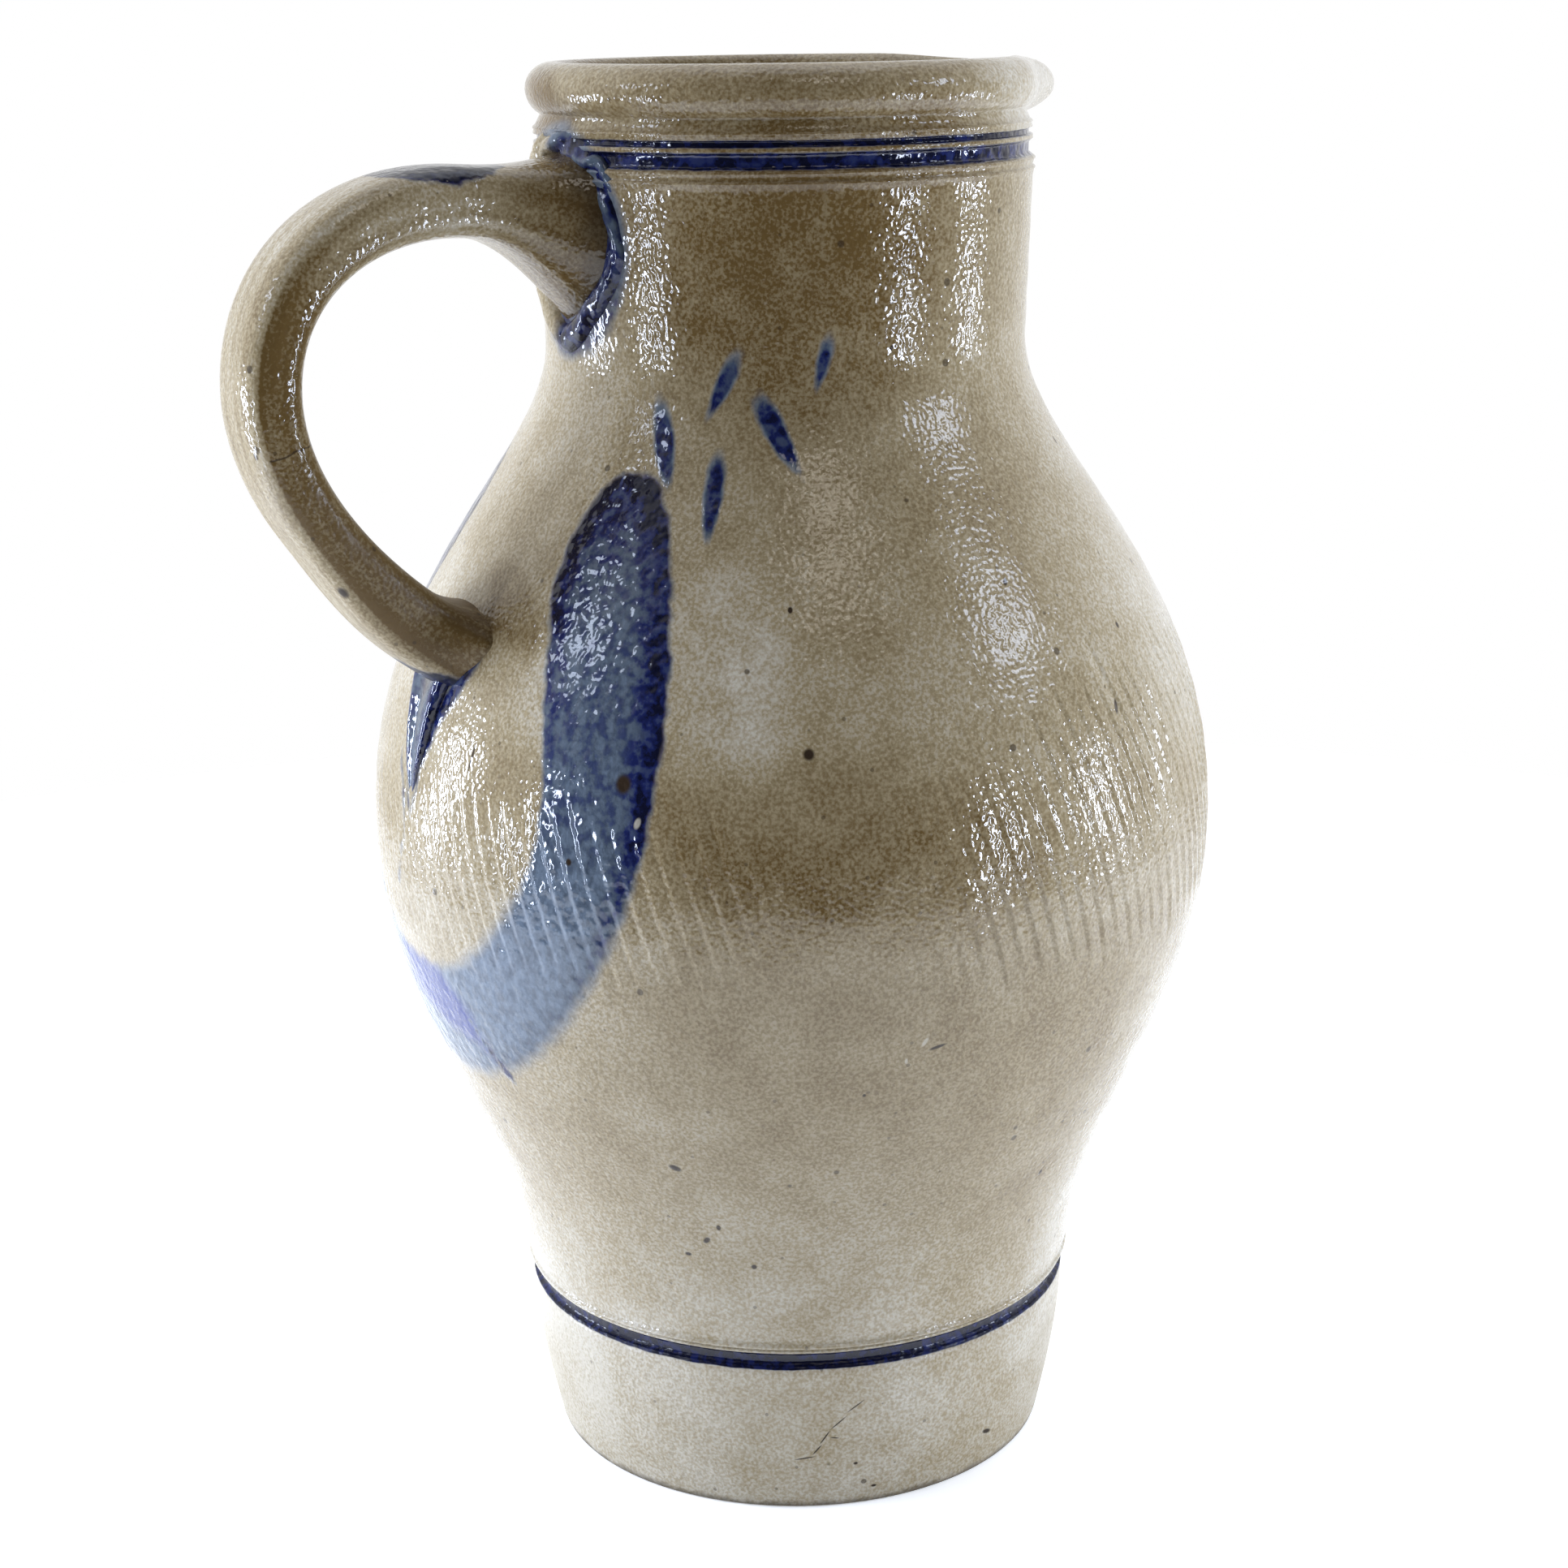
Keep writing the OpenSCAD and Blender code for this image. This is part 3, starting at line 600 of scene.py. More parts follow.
def finish_tree(tree, shape, glaze):
    """Ends a geometry tree with smooth faces, real geometry and the glaze."""
    smoothed = add_node(tree, "GeometryNodeSetShadeSmooth", shape)
    real = add_node(tree, "GeometryNodeRealizeInstances", smoothed)
    glazed = add_node(tree, "GeometryNodeSetMaterial", real, named={"Material": glaze})
    add_node(tree, "NodeGroupOutput", glazed)
    return tree


def apply_tree(piece, tree, **values):
    """Runs a geometry tree on a piece with named inputs, and keeps the result as its plain mesh."""
    modifier = piece.modifiers.new("Tree", "NODES")
    modifier.node_group = tree
    for item in tree.interface.items_tree:
        name = item.name.lower().replace(" ", "_")
        if item.in_out == "INPUT" and name in values:
            modifier[item.identifier] = values[name]
    shown = piece.evaluated_get(bpy.context.evaluated_depsgraph_get())
    piece.data = bpy.data.meshes.new_from_object(shown)
    piece.modifiers.clear()


# The thrown pot's chance: the seed of its wobble and of its quiet marks, the place in degrees where the
# marks are quiet, and the patterns' sizes in millimetres
POT_SEED = 3.0
QUIET_ANGLE = -112
POT_WAVES = {"patch": (22,), "unround": (110,)}

# A chatter mark's cut: the power with which it deepens, and how far it strays up and down in metres
CUT_POWER = 1.3
STRAY_UP, STRAY_DOWN = 0.012, 0.008


def throwing_tree():
    """Geometry nodes that work a turned blank: chatter marks, finger rings and a slight wobble."""
    tree, given = new_tree("Throwing and turning", "Marks", "Mark depth", "Lean", "Lowest", "Highest",
                           "Quiet turn", "Ring pitch", "Ring depth", "Wobble", "Seed", "Rim")
    place = add_node(tree, "GeometryNodeInputPosition")
    axes = add_node(tree, "ShaderNodeSeparateXYZ", place)
    x, y, z = axes[0], axes[1], axes[2]
    waves = patterns(tree, place, POT_WAVES, given["Seed"])
    flat = add_node(tree, "ShaderNodeCombineXYZ", x, y)
    outward = add_node(tree, "ShaderNodeVectorMath", flat, operation="NORMALIZE")
    turns = y.math("ARCTAN2", x) * (1 / math.tau)
    outside = add_node(tree, "GeometryNodeInputNamedAttribute", "outside", data_type="FLOAT")

    # Each mark deepens slowly and ends in a sharp step, as where the tool jumped; the marks reach higher
    # towards the spout, and nearly miss one quiet place
    phase = (turns + (z - given["Lowest"]) * given["Lean"]) * given["Marks"]
    deepening = (phase + 0.02).math("FRACT").math("POWER", CUT_POWER)
    flicker = add_node(tree, "ShaderNodeTexNoise", named={"W": phase, "Scale": 0.83, "Detail": 0.0},
                       noise_dimensions="1D")
    flicker = flicker - 0.5
    highest = given["Highest"] + x.change(-0.045, 0.035, 0.0, 0.02) + flicker * STRAY_UP
    fade_in = (z - given["Lowest"] + flicker * STRAY_DOWN).change(-0.002, 0.003)
    fade_out = (z - highest).change(-0.005, 0.003, 1.0, 0.0)
    reach = waves.patch.change(0.35, 0.6, 0.45, 1.0)
    loud = (turns - given["Quiet turn"]).math("ABSOLUTE").change(0.025, 0.06, 0.35, 1.0)
    cut = deepening * fade_in * fade_out * reach * loud * given["Mark depth"] * outside

    # Finger rings spiral up the inside, and show faintly outside
    ring = ((z.math("DIVIDE", given["Ring pitch"]) + turns) * math.tau).math("SINE")
    rings = ring * outside.change(0.0, 1.0, 0.5, 0.05) * given["Ring depth"] * z.change(0.02, 0.05)

    # No thrown pot is quite round, and no rim quite level
    wobble = (waves.unround - 0.5) * given["Wobble"] * z.change(0.0, 0.03)
    level = (z - given["Rim"]).change(-0.02, 0.0, 0.0, 0.7)
    sideways = add_node(tree, "ShaderNodeVectorMath", outward, named={"Scale": wobble + rings - cut},
                        operation="SCALE")
    upward = add_node(tree, "ShaderNodeCombineXYZ", None, None, wobble * level)
    offset = add_node(tree, "ShaderNodeVectorMath", sideways, upward, operation="ADD")
    moved = add_node(tree, "GeometryNodeSetPosition", given["Blank"], named={"Offset": offset})
    return finish_tree(tree, moved, given["Glaze"])


# The thumbed roll: its steps along and around, the ridges wiped round it and how often they twist on the
# way, their height in millimetres, how thick its lower side stays as a share, and how far its ridges slip
# aside
SEAM_STEPS, SEAM_SIDES = 260, 24
SEAM_RIDGES, SEAM_TWISTS, SEAM_RIDGE_H = 3.0, 9.0, 0.5
ROLL_LOWER = 0.84
ROLL_SLIP = 1.2
ROLL_WAVES = {"slips": (6,), "lumps": (3,)}


def thumbing_tree():
    """Geometry nodes that lay a roll of clay along a closed path, wiped down in long slanting ridges."""
    tree, given = new_tree("Thumbed roll", "Steps", "Sides", "Half width", "Ridges", "Twists",
                           "Ridge height")
    line = add_node(tree, "GeometryNodeMeshToCurve", given["Blank"])
    even = add_node(tree, "GeometryNodeResampleCurve", line, named={"Count": given["Steps"]})
    share = add_node(tree, "GeometryNodeSplineParameter")
    circle = add_node(tree, "GeometryNodeCurvePrimitiveCircle", given["Sides"], named={"Radius": 1.0})
    marked, profile = [
        add_node(tree, "GeometryNodeStoreNamedAttribute", curve, named={"Name": name, "Value": share},
                 data_type="FLOAT", domain="POINT")
        for curve, name in ((even, "along"), (circle, "around"))]
    upness = (share * math.tau).math("SINE")
    radius = upness.change(-1.0, 1.0, ROLL_LOWER, 1.0) * given["Half width"]
    roll = add_node(tree, "GeometryNodeCurveToMesh", marked, profile, named={"Scale": radius})
    along, around = [add_node(tree, "GeometryNodeInputNamedAttribute", name, data_type="FLOAT")
                     for name in ("along", "around")]
    waves = patterns(tree, add_node(tree, "GeometryNodeInputPosition"), ROLL_WAVES)
    phase = around * given["Ridges"] + along * given["Twists"] + waves.slips * ROLL_SLIP
    wiped = (along * math.tau).math("COSINE").change(-0.5, 0.5, 0.15, 1.0)
    ridge = (phase * math.tau).math("SINE") * wiped
    height = (ridge + (waves.lumps - 0.5) * 0.5) * given["Ridge height"]
    creased = add_node(tree, "GeometryNodeStoreNamedAttribute", roll, data_type="FLOAT", domain="POINT",
                       named={"Name": "crease", "Value": ridge * -0.5 + 0.5})
    normal = add_node(tree, "GeometryNodeInputNormal")
    push = add_node(tree, "ShaderNodeVectorMath", normal, named={"Scale": height}, operation="SCALE")
    moved = add_node(tree, "GeometryNodeSetPosition", creased, named={"Offset": push})
    return finish_tree(tree, moved, given["Glaze"])


# Materials

# Marks in the clay: degrees from the handle, height, half width and half length in millimetres, and lean
# in degrees, with the least depth to which a mark reaches
IRON_MARKS = (
    (62.1, 140.3, 0.9, 0.9, 0), (60, 160.3, 0.4, 0.5, 0), (95.8, 161.8, 0.4, 0.6, 30),
    (116.6, 152.1, 0.4, 0.5, 0), (106, 59.6, 0.4, 0.6, 10), (38.4, 135.2, 1.3, 1.5, 0),
    (31.4, 122.5, 0.5, 0.6, 0), (13.7, 135.2, 0.25, 2.4, 10), (78.4, 92.6, 0.3, 1.5, 75),
    (109.5, 141, 0.5, 1.2, 15), (44, 54, 0.5, 0.8, 40), (46.5, 57, 0.4, 0.6, 0), (40, 50.5, 0.6, 0.4, 0),
    (52, 49, 0.5, 0.5, 0), (41.2, 69.2, 1.1, 0.6, 20), (69, 84.8, 0.3, 0.3, 0), (71.3, 20.6, 0.13, 1.9, 54),
    (67.8, 17.6, 0.13, 1.9, 48), (65, 14.8, 0.15, 1.7, 32), (63.4, 12.3, 0.15, 1.3, 38),
    (60.8, 10.6, 0.15, 1.8, 80), (67, 14.6, 0.13, 0.8, 100), (71.7, 8.8, 0.4, 0.3, 0),
    (76.1, 3.4, 0.5, 0.3, 0), (105.5, 7.4, 1.2, 0.5, 20), (84, 197, 0.3, 0.5, 30),
)
# Pale spots of clay, given as marks are; the first, on the chip, is a painted glint
PALE_SPOTS_AND_GLINT = ((76.6, 93.8, 0.35, 0.9, 30), (40.6, 129.6, 0.5, 0.9, 20), (74.3, 90.6, 0.25, 0.5, 0))
MARK_REACH = 3

# Specks strewn over the far side: how many, their seed, and the ranges that their first four values are
# drawn from
SPECKS, SPECK_SEED = 14, 5
SPECK_RANGES = ((130, 350), (20, 190), (0.3, 0.7), (0.3, 0.8))

# How brown the clay is at each height, from 0 for pale to 1 for brown, and the clouds of darker or paler
# clay, given as marks are, with how much each adds. The cloud beside the loop at 27 degrees and the one on
# the collar at 132 degrees are painted light, and the two leaning clouds above the lower root are painted
# shade of the handle on the belly
TONING = ((0, 0.22), (28, 0.25), (60, 0.5), (96, 0.52), (110, 0.5), (118, 0.56), (128, 0.58), (150, 0.46),
          (170, 0.5), (190, 0.58), (210, 0.7), (222, 0.72), (233, 0.76), (240, 0.6))
TONE_AND_PAINTED_LIGHT_CLOUDS = (
    (68, 127, 32, 14, 0, 0.16), (50, 152, 12, 24, 0, -0.2), (27, 146, 8, 12, 0, -0.2),
    (12, 158, 5, 15, -52, 0.25), (62, 206, 22, 24, 0, 0.2), (-120, 150, 30, 25, 0, 0.3),
    (5, 151, 9, 6, -35, 0.4), (-10, 233, 12, 7, 0, 0.35), (132, 235, 25, 8, 0, -0.3),
    (138, 45, 24, 55, 0, -0.15), (-15, 15, 25, 25, 0, -0.12),
)

# Patterns in the glaze: the size of their features in millimetres, and their detail. The real grain,
# beads and crinkles are about half as coarse, and are drawn as coarse as they need to be to show
GLAZE_PATTERNS = {"grain": (0.55, 2.0), "blotch": (9, 4.0), "mottle": (1.8, 5.0), "crinkles": (1.3, 3.0),
                  "beads": (0.75, 0.0), "waves": (1.9, 1.0), "swell": (7, 1.0)}
POT_PATTERNS = {"sheets": (50, 3.0, 0.6), "streaks": (4, 4.0), "ragged": (3.5, 2.0)}
STRAP_PATTERNS = {"ragged": (3, 3.0)}

# Iron specks and small burst pits: the cell in millimetres that holds at most one, the chance from which
# it holds one, its greatest radius as a share of the cell, and its strength
SPECK_CELLS = ((2.6, 0.55, 0.13, 0.5), (6.0, 0.5, 0.11, 0.7))

# Depths in millimetres of the clay's crinkles, and of the gloss's slow swell, its waves over cobalt and
# its beads
CRINKLE_DEPTH = 0.28
GLOSS_DEPTHS = {"swell": 0.25, "waves": 0.3, "beads": 0.12}

# The clay under its glaze is matt and barely mirrors, and the glaze mirrors as glass does, sharp where it
# is wet
CLAY_ROUGH, CLAY_IOR, GLAZE_IOR = 0.6, 1.08, 1.5
WET_ROUGH, DRY_ROUGH, MEAN_ROUGH = (0.05, 0.1), 0.5, 0.08


def mark_mask(tree, s, place, marks):
    """A mask over small oval marks on the pot's surface."""
    mask = None
    for angle, z, half_w, half_l, lean in marks:
        turn = math.radians(angle + 180)
        r = float(pot_r(s, z))
        middle = (r * math.cos(turn) * MM, r * math.sin(turn) * MM, z * MM)
        size = (max(MARK_REACH, half_w) * MM, half_w * MM, half_l * MM)
        near = add_node(tree, "ShaderNodeMapping", place, middle, (math.radians(-lean), 0, turn), size,
                        vector_type="TEXTURE")
        away = add_node(tree, "ShaderNodeVectorMath", near, operation="LENGTH")["Value"]
        spot = away.change(0.6, 1.25, 1.0, 0.0)
        mask = spot if mask is None else mask.most(spot)
    return mask


def glaze(tree, toning, cobalt, thickness, dryness, marks=()):
    """Salt glaze over stoneware. Toning takes the clay from pale to brown, cobalt is how much of the clay
    the paint hides, thickness takes the paint from a wash to a pool, and dryness takes the gloss away.
    Each is a node's value or a plain number. Marks are masks, each with its colour."""
    tints = bpy.context.scene.jug_colours
    place = add_node(tree, "ShaderNodeTexCoord")["Object"]
    pattern = patterns(tree, place, GLAZE_PATTERNS)

    # The body's fine grain and cloudy blotches, with its iron specks and pits
    tone = pattern.grain.swing(0.17) + pattern.blotch.swing(0.07) + toning
    shade = add_node(tree, "ShaderNodeValToRGB", tone, stops=[
        (0.0, tints.pale_clay), (0.5, tints.toned_clay), (1.0, tints.brown_clay)])
    layers = []
    for cell, least, size, strength in SPECK_CELLS:
        cells = add_node(tree, "ShaderNodeTexVoronoi", place, named={"Scale": 1 / (cell * MM)})
        chance = add_node(tree, "ShaderNodeSeparateColor", cells["Color"])
        radius = chance.change(least, 1.0, -0.05, size)
        layers.append(((cells["Distance"] - radius).change(-0.02, 0.02, strength, 0.0), tints.iron))

    # Cobalt: the clay shows through a wash, and a pool is nearly black
    depth = pattern.mottle.swing(0.17, reach=0.15) + thickness
    paint = add_node(tree, "ShaderNodeValToRGB", depth, stops=[
        (0.12, tints.thin_cobalt), (0.5, tints.slate_cobalt), (0.8, tints.thick_cobalt),
        (1.0, tints.deep_cobalt)])
    for mask, tint in (*layers, (cobalt, paint), *marks):
        shade = add_node(tree, "ShaderNodeMix", mask, named={6: shade, 7: tint}, data_type="RGBA")[2]

    # Orange peel: beads of glaze on the clay, and broader, wetter waves over the cobalt
    wet = dryness * -1.0 + 1.0
    heights = {"swell": pattern.swell, "waves": pattern.waves * cobalt,
               "beads": pattern.beads * (cobalt * -0.75 + 1.0) * wet}
    bump = None
    for name, height in heights.items():
        bump = add_node(tree, "ShaderNodeBump", named={
            "Distance": GLOSS_DEPTHS[name] * MM, "Height": height, "Normal": bump})
    crinkled = add_node(tree, "ShaderNodeBump", named={
        "Distance": CRINKLE_DEPTH * MM, "Height": pattern.crinkles})
    rough = pattern.blotch.change(0.3, 0.7, *WET_ROUGH) + dryness * DRY_ROUGH
    surface = add_node(tree, "ShaderNodeBsdfPrincipled", named={
        "Base Color": shade, "Roughness": CLAY_ROUGH, "IOR": CLAY_IOR, "Normal": crinkled,
        "Coat Weight": wet, "Coat Roughness": rough, "Coat IOR": GLAZE_IOR, "Coat Normal": bump})

    # Where the pattern in the coat's roughness can't be read, its mean stands in
    surface.node.inputs["Coat Roughness"].default_value = MEAN_ROUGH
    add_node(tree, "ShaderNodeOutputMaterial", surface)


def new_material(name):
    """An empty material and its tree."""
    material = bpy.data.materials.new(name)
    material.use_nodes = True
    material.node_tree.nodes.clear()
    return material, material.node_tree


# How thick the paint lies in the strokes that are even, and in the middle of each band from the lowest
# up. The lowest band overruns the foot's edge by this many millimetres
EVEN_STROKES = {"crescent": 0.84, "trickle": 0.86, "pool": 0.8, "streak": 0.95}
BAND_MIDDLES = (0.98, 0.92, 1.0)
FOOT_OVERRUN = 0.7


def pot_toning(tree, s, place, pattern, height, outside):
    """How brown the pot's clay is: by height, in sheets, paler towards its back and its spout, brown
    inside, and in clouds where the flame struck or the salt settled. The paling towards the spout and a few
    clouds are painted light and painted shade instead: light where the side lamps fall, and the handle's
    shade on the belly."""
    axes = add_node(tree, "ShaderNodeSeparateXYZ", place)
    by_height = add_node(tree, "ShaderNodeValToRGB", height * (1 / s.jug_h),
                         stops=[(z / s.jug_h, [tone] * 3 + [1]) for z, tone in TONING])
    front_side = axes[1].change(-0.07, 0.04, 0.06, -0.12)
    # Paler towards the spout, where the side lamps fall: painted light
    spout_painted_light = axes[0].change(0.0, 0.05, 0.0, -0.26) * height.change(90.0, 150.0)
    toning = by_height + pattern.sheets.swing(0.1) + front_side + spout_painted_light
    toning = toning + outside.change(0.0, 1.0, 0.35, 0.0)
    streaks = pattern.streaks.swing(0.28)
    # Some clouds are painted light and painted shade rather than the clay's own tone
    for *mark, strength in TONE_AND_PAINTED_LIGHT_CLOUDS:
        cloud = mark_mask(tree, s, place, [mark])
        toning = toning + (cloud + streaks * cloud) * strength
    return toning


def pot_cobalt(s, at, ragged):
    """How much of the clay the pot's brushwork and bands hide, and how thick the paint lies, from what is
    stored at each place."""
    height = at.turned_height
    covers, pools = [], []

    def lay(depth, thick, soft_from, soft_to, hide=1.0):
        cover = (depth + ragged).change(soft_from, soft_to, 0.0, hide)
        covers.append(cover)
        pools.append(cover * thick)

    # The big loop: pools down its edges and at its top, slate in the middle, and a thin wash below
    run, side = at.loop_run, at.loop_side
    near_edge = side.change(0.35, 0.8, 0.0, 0.36) * run.change(0.5, 0.68, 1.0, 0.5)
    far_edge = side.change(-0.95, -0.4, 0.45, 0.0) * run.change(0.05, 0.4, 1.0, 0.0)
    body = run.change(0.4, 0.58, 0.52, 0.24) + run.change(0.0, 0.16, 0.3, 0.0)
    lay(at.loop, body + near_edge + far_edge, -0.4, run.change(0.4, 0.7, 0.9, 3.2))
    for name, thick in EVEN_STROKES.items():
        lay(getattr(at, name), thick, -0.5, 1.0)
    lay(at.dabs, at.dabs.change(0.0, 1.5, 0.45, 0.8), -1.2, 0.9)

    # A wash that ran out under the seam, thicker below
    under = height.change(s.upper_z - 14, s.upper_z + 2, 0.8, 0.3)
    lay(at.root + 0.7, under, -0.8, 1.6, hide=0.9)

    # Bands fill their turned grooves, darkest along the grooves' edges
    shown = at.outside.change(0.9, 1.0, -9.0, 0.0)
    bands = ((s.foot_h - FOOT_OVERRUN, s.foot_band_w + FOOT_OVERRUN), (s.broad_band_z, s.broad_band_w),
             (s.fine_band_z, s.fine_band_w))
    for (low, width), middle in zip(bands, BAND_MIDDLES):
        depth = (height - (low + width / 2)).math("ABSOLUTE") * -1.0 + width / 2
        lay(depth - ragged * 0.75 + shown, depth.change(0.2, 0.8, 1.0, middle), -0.1, 0.2)

    cobalt, thickness = covers[0], pools[0]
    for cover, pool in zip(covers[1:], pools[1:]):
        cobalt = cobalt.most(cover)
        thickness = thickness.most(pool)
    return cobalt, thickness


def salt_glazed_stoneware(s):
    """Salt-glazed stoneware, thrown and turned: grey-beige with brown toning where the flame was hottest,
    a pitted gloss, pale dry clay at the foot, and cobalt that bled into the glaze at its edges. Some of the
    toning is painted light and painted shade, and the pale mark on the chip is a painted glint."""
    material, tree = new_material("salt_glazed_stoneware")
    place = add_node(tree, "ShaderNodeTexCoord")["Object"]
    pattern = patterns(tree, place, POT_PATTERNS)
    at = stored_values(tree, "turned_height", "outside", "loop", "loop_run", "loop_side", "dabs", "root",
                       *STROKES)
    height = at.turned_height
    toning = pot_toning(tree, s, place, pattern, height, at.outside)

    # The paint crept by about 0.3 mm, which leaves its edges ragged
    ragged = pattern.ragged.swing(0.3)
    cobalt, thickness = pot_cobalt(s, at, ragged)
    off_streak = (at.streak + ragged).change(-0.3, 0.4, 1.0, 0.0)
    violet = (at.violet + ragged * 2.0).change(-1.2, 2.6, 0.0, 0.9) * off_streak

    # Little salt reached the foot, and its lowest edge is darker
    dryness = height.change(1.0, s.foot_h, 0.75, 0.35) * height.change(s.foot_h, s.foot_h + 2, 1.0, 0.1)
    dark_base = (height + ragged).change(0.2, 1.6, 0.6, 0.0)
    rng = np.random.default_rng(SPECK_SEED)
    specks = [(*[rng.uniform(*ends) for ends in SPECK_RANGES], 0) for _ in range(SPECKS)]
    iron = mark_mask(tree, s, place, [*IRON_MARKS, *specks]).most(dark_base)
    # Pale spots, and a painted glint on the chip
    pale = mark_mask(tree, s, place, PALE_SPOTS_AND_GLINT) * 0.7
    tints = bpy.context.scene.jug_colours
    glaze(tree, toning, cobalt, thickness, dryness,
          ((violet, tints.violet_cobalt), (iron, tints.iron), (pale, tints.pale_clay)))
    return material


# Places on the strap, in millimetres: the crack's run along it, with half its width without and with its
# soft edge, and the pit's middle, with its radius without and with its soft edge
CRACK_RUN, CRACK_HALF, CRACK_EDGE = 79.0, 0.05, 0.25
PIT, PIT_R, PIT_EDGE = Vector((-84.3, -7.0, 161.2)), 1.1, 1.8


def toned_stoneware():
    """Salt-glazed stoneware of the pulled strap: brown where the flame licked its sides, paler along its
    back, with the long streaks of wet fingers and a cobalt stroke on top."""
    material, tree = new_material("toned_stoneware")
    place = add_node(tree, "ShaderNodeTexCoord")["Object"]
    at = stored_values(tree, "strap_run", "strap_around", "strap_side", "strap_near", "stroke", "wash")
    run, side = at.strap_run, at.strap_side
    ragged = patterns(tree, place, STRAP_PATTERNS).ragged.swing(0.4)

    # Finger streaks are about 2 mm wide and 33 mm long
    lengthwise = add_node(tree, "ShaderNodeCombineXYZ", at.strap_around * 0.5, run * 0.03)
    streaks = add_node(tree, "ShaderNodeTexNoise", lengthwise, named={"Scale": 1.0, "Detail": 3.0})
    toning = side.change(0.3, 0.7, 0.0, 0.4) * run.change(25.0, 65.0) + streaks.swing(0.15) + 0.6

    # Browner at the upper root and paler at the lower root. The paler first bend is a painted highlight
    toning = toning + run.change(5.0, 20.0, 0.3, 0.0) - run.change(118.0, 145.0, 0.0, 0.28)
    toning = toning - run.change(12.0, 25.0, 0.0, 0.14) * run.change(45.0, 65.0, 1.0, 0.0)
    stroke = (at.stroke + ragged).change(-0.4, 0.7)
    # The wash darkens the strap where it meets the neck: partly its own iron tone, partly painted shade
    wash = (at.wash + ragged * 2.0).change(-3.0, 2.0, 0.0, 0.6)
    crack = (run + ragged * 0.6 - CRACK_RUN).math("ABSOLUTE").change(CRACK_HALF, CRACK_EDGE, 0.8, 0.0)
    shown_crack = crack * side.change(0.3, 0.5) * at.strap_near.change(0.0, 1.0)
    off_pit = add_node(tree, "ShaderNodeVectorMath", place, PIT * MM, operation="DISTANCE")["Value"]
    iron = off_pit.change(PIT_R * MM, PIT_EDGE * MM, 1.0, 0.0).most(shown_crack)
    tints = bpy.context.scene.jug_colours
    glaze(tree, toning, stroke, stroke * 1.1, run.change(70.0, 100.0, 0.06, 0.5),
          ((wash, tints.iron), (iron, tints.iron)))
    return material


def cobalt_washed_stoneware(s):
    """Salt-glazed stoneware thumbed down by hand and washed with cobalt: slate on the ridges, where the
    wash ran thin, navy in the creases, a deeper blue at the bottom, where it gathered, and bare low on
    the far side."""
    material, tree = new_material("cobalt_washed_stoneware")
    place = add_node(tree, "ShaderNodeTexCoord")["Object"]
    axes = add_node(tree, "ShaderNodeSeparateXYZ", place)
    z = axes[2]
    low = z.change((s.upper_z - 12) * MM, (s.upper_z - 2) * MM, 0.15, 0.0)
    pool = stored_values(tree, "crease").crease.change(0.1, 0.7, 0.48, 0.86) + low
    bare = axes[1].change(0.0, 0.003) * z.change((s.upper_z - 16) * MM, (s.upper_z - 14) * MM)
    glaze(tree, 0.5, bare * -1.0 + 1.0, pool, 0.12)
    return material


def smeared_stoneware():
    """Salt-glazed stoneware smeared down with the thumb: slate cobalt thinned over its back, and a dark
    pool along its edges."""
    material, tree = new_material("smeared_stoneware")
    at = stored_values(tree, "edge", "tail_run")
    cobalt = (at.edge + at.tail_run).change(0.1, 0.8, 0.55, 1.0)
    glaze(tree, 0.6, cobalt, at.edge.change(0.3, 0.95, 0.5, 0.88), 0.0)
    return material


def give_material(piece, material):
    """Puts one material on a whole piece."""
    piece.data.materials.clear()
    piece.data.materials.append(material)


def settle(piece, slot, *nodes):
    """Ties a finished piece to the frame's root body and hides the nodes that it stands for. The slot is
    not used.
    """
    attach(piece, "root")
    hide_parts(*nodes)


def loft_faces(rings, sides):
    """Faces of a skin through rings of points, capped at both ends."""
    faces = [tuple(range(sides - 1, -1, -1))]
    for a in range(0, (rings - 1) * sides, sides):
        b = a + sides
        faces.extend((a + j, a + (j + 1) % sides, b + (j + 1) % sides, b + j) for j in range(sides))
    faces.append(tuple((rings - 1) * sides + j for j in range(sides)))
    return faces


# The strap handle

# Right half of the strap's section, from the middle of its back to the middle of its inside, as shares of
# half its width and thickness. The wet fingers left a ridge beside the back, at the third station, and
# flat sides
STRAP_HALF = ((0, 1), (0.42, 0.98), (0.74, 0.88), (0.92, 0.64), (0.98, 0.3), (0.985, 0), (0.985, -0.28),
              (0.95, -0.58), (0.76, -0.86), (0.38, -0.98), (0, -1))
FLARE_HALF = ((0, 1), (0.45, 0.93), (0.8, 0.72), (0.95, 0.45), (1, 0.15), (1, -0.1), (0.93, -0.3),
              (0.78, -0.47), (0.52, -0.7), (0.24, -0.9), (0, -1))
RIDGE_PLACE, RIDGE_SOFT = 3, 0.4
STRAP_SMOOTH, STRAP_STEPS = 3, 50

# In millimetres: how far the strap runs on into the pot, how deep its skin may lie in it, how far the
# lower root rises and swells, how far its fillet reaches, how far the top swells, and the stroke on top
ROOT_RUN_ON, ROOT_DEPTH, ROOT_RISE, ROOT_SWELL = 7, 4, 1.2, 2.2
FILLET_REACH, TOP_SWELL = 11, 1.4
STROKE_LEN, STROKE_W = 22, 17.8

# Powers with which the flare and the fillet grow towards the pot. From the strap's back, at -1, to its
# inside, at 1, the fillet grows over the first range, and loses its share over the second
FLARE_POWER, FILLET_POWER = 2.2, 2.4
FILLET_GROWS, FILLET_WEAKENS, FILLET_LOSS = (-0.7, 0.3), (0.3, 1), 0.5

# Where the top's swell fades out and the lower root's comes in, counted in halves of the strap
TOP_FADE, ROOT_FADE = (0.4, 0.95), (1.5, 1.9)

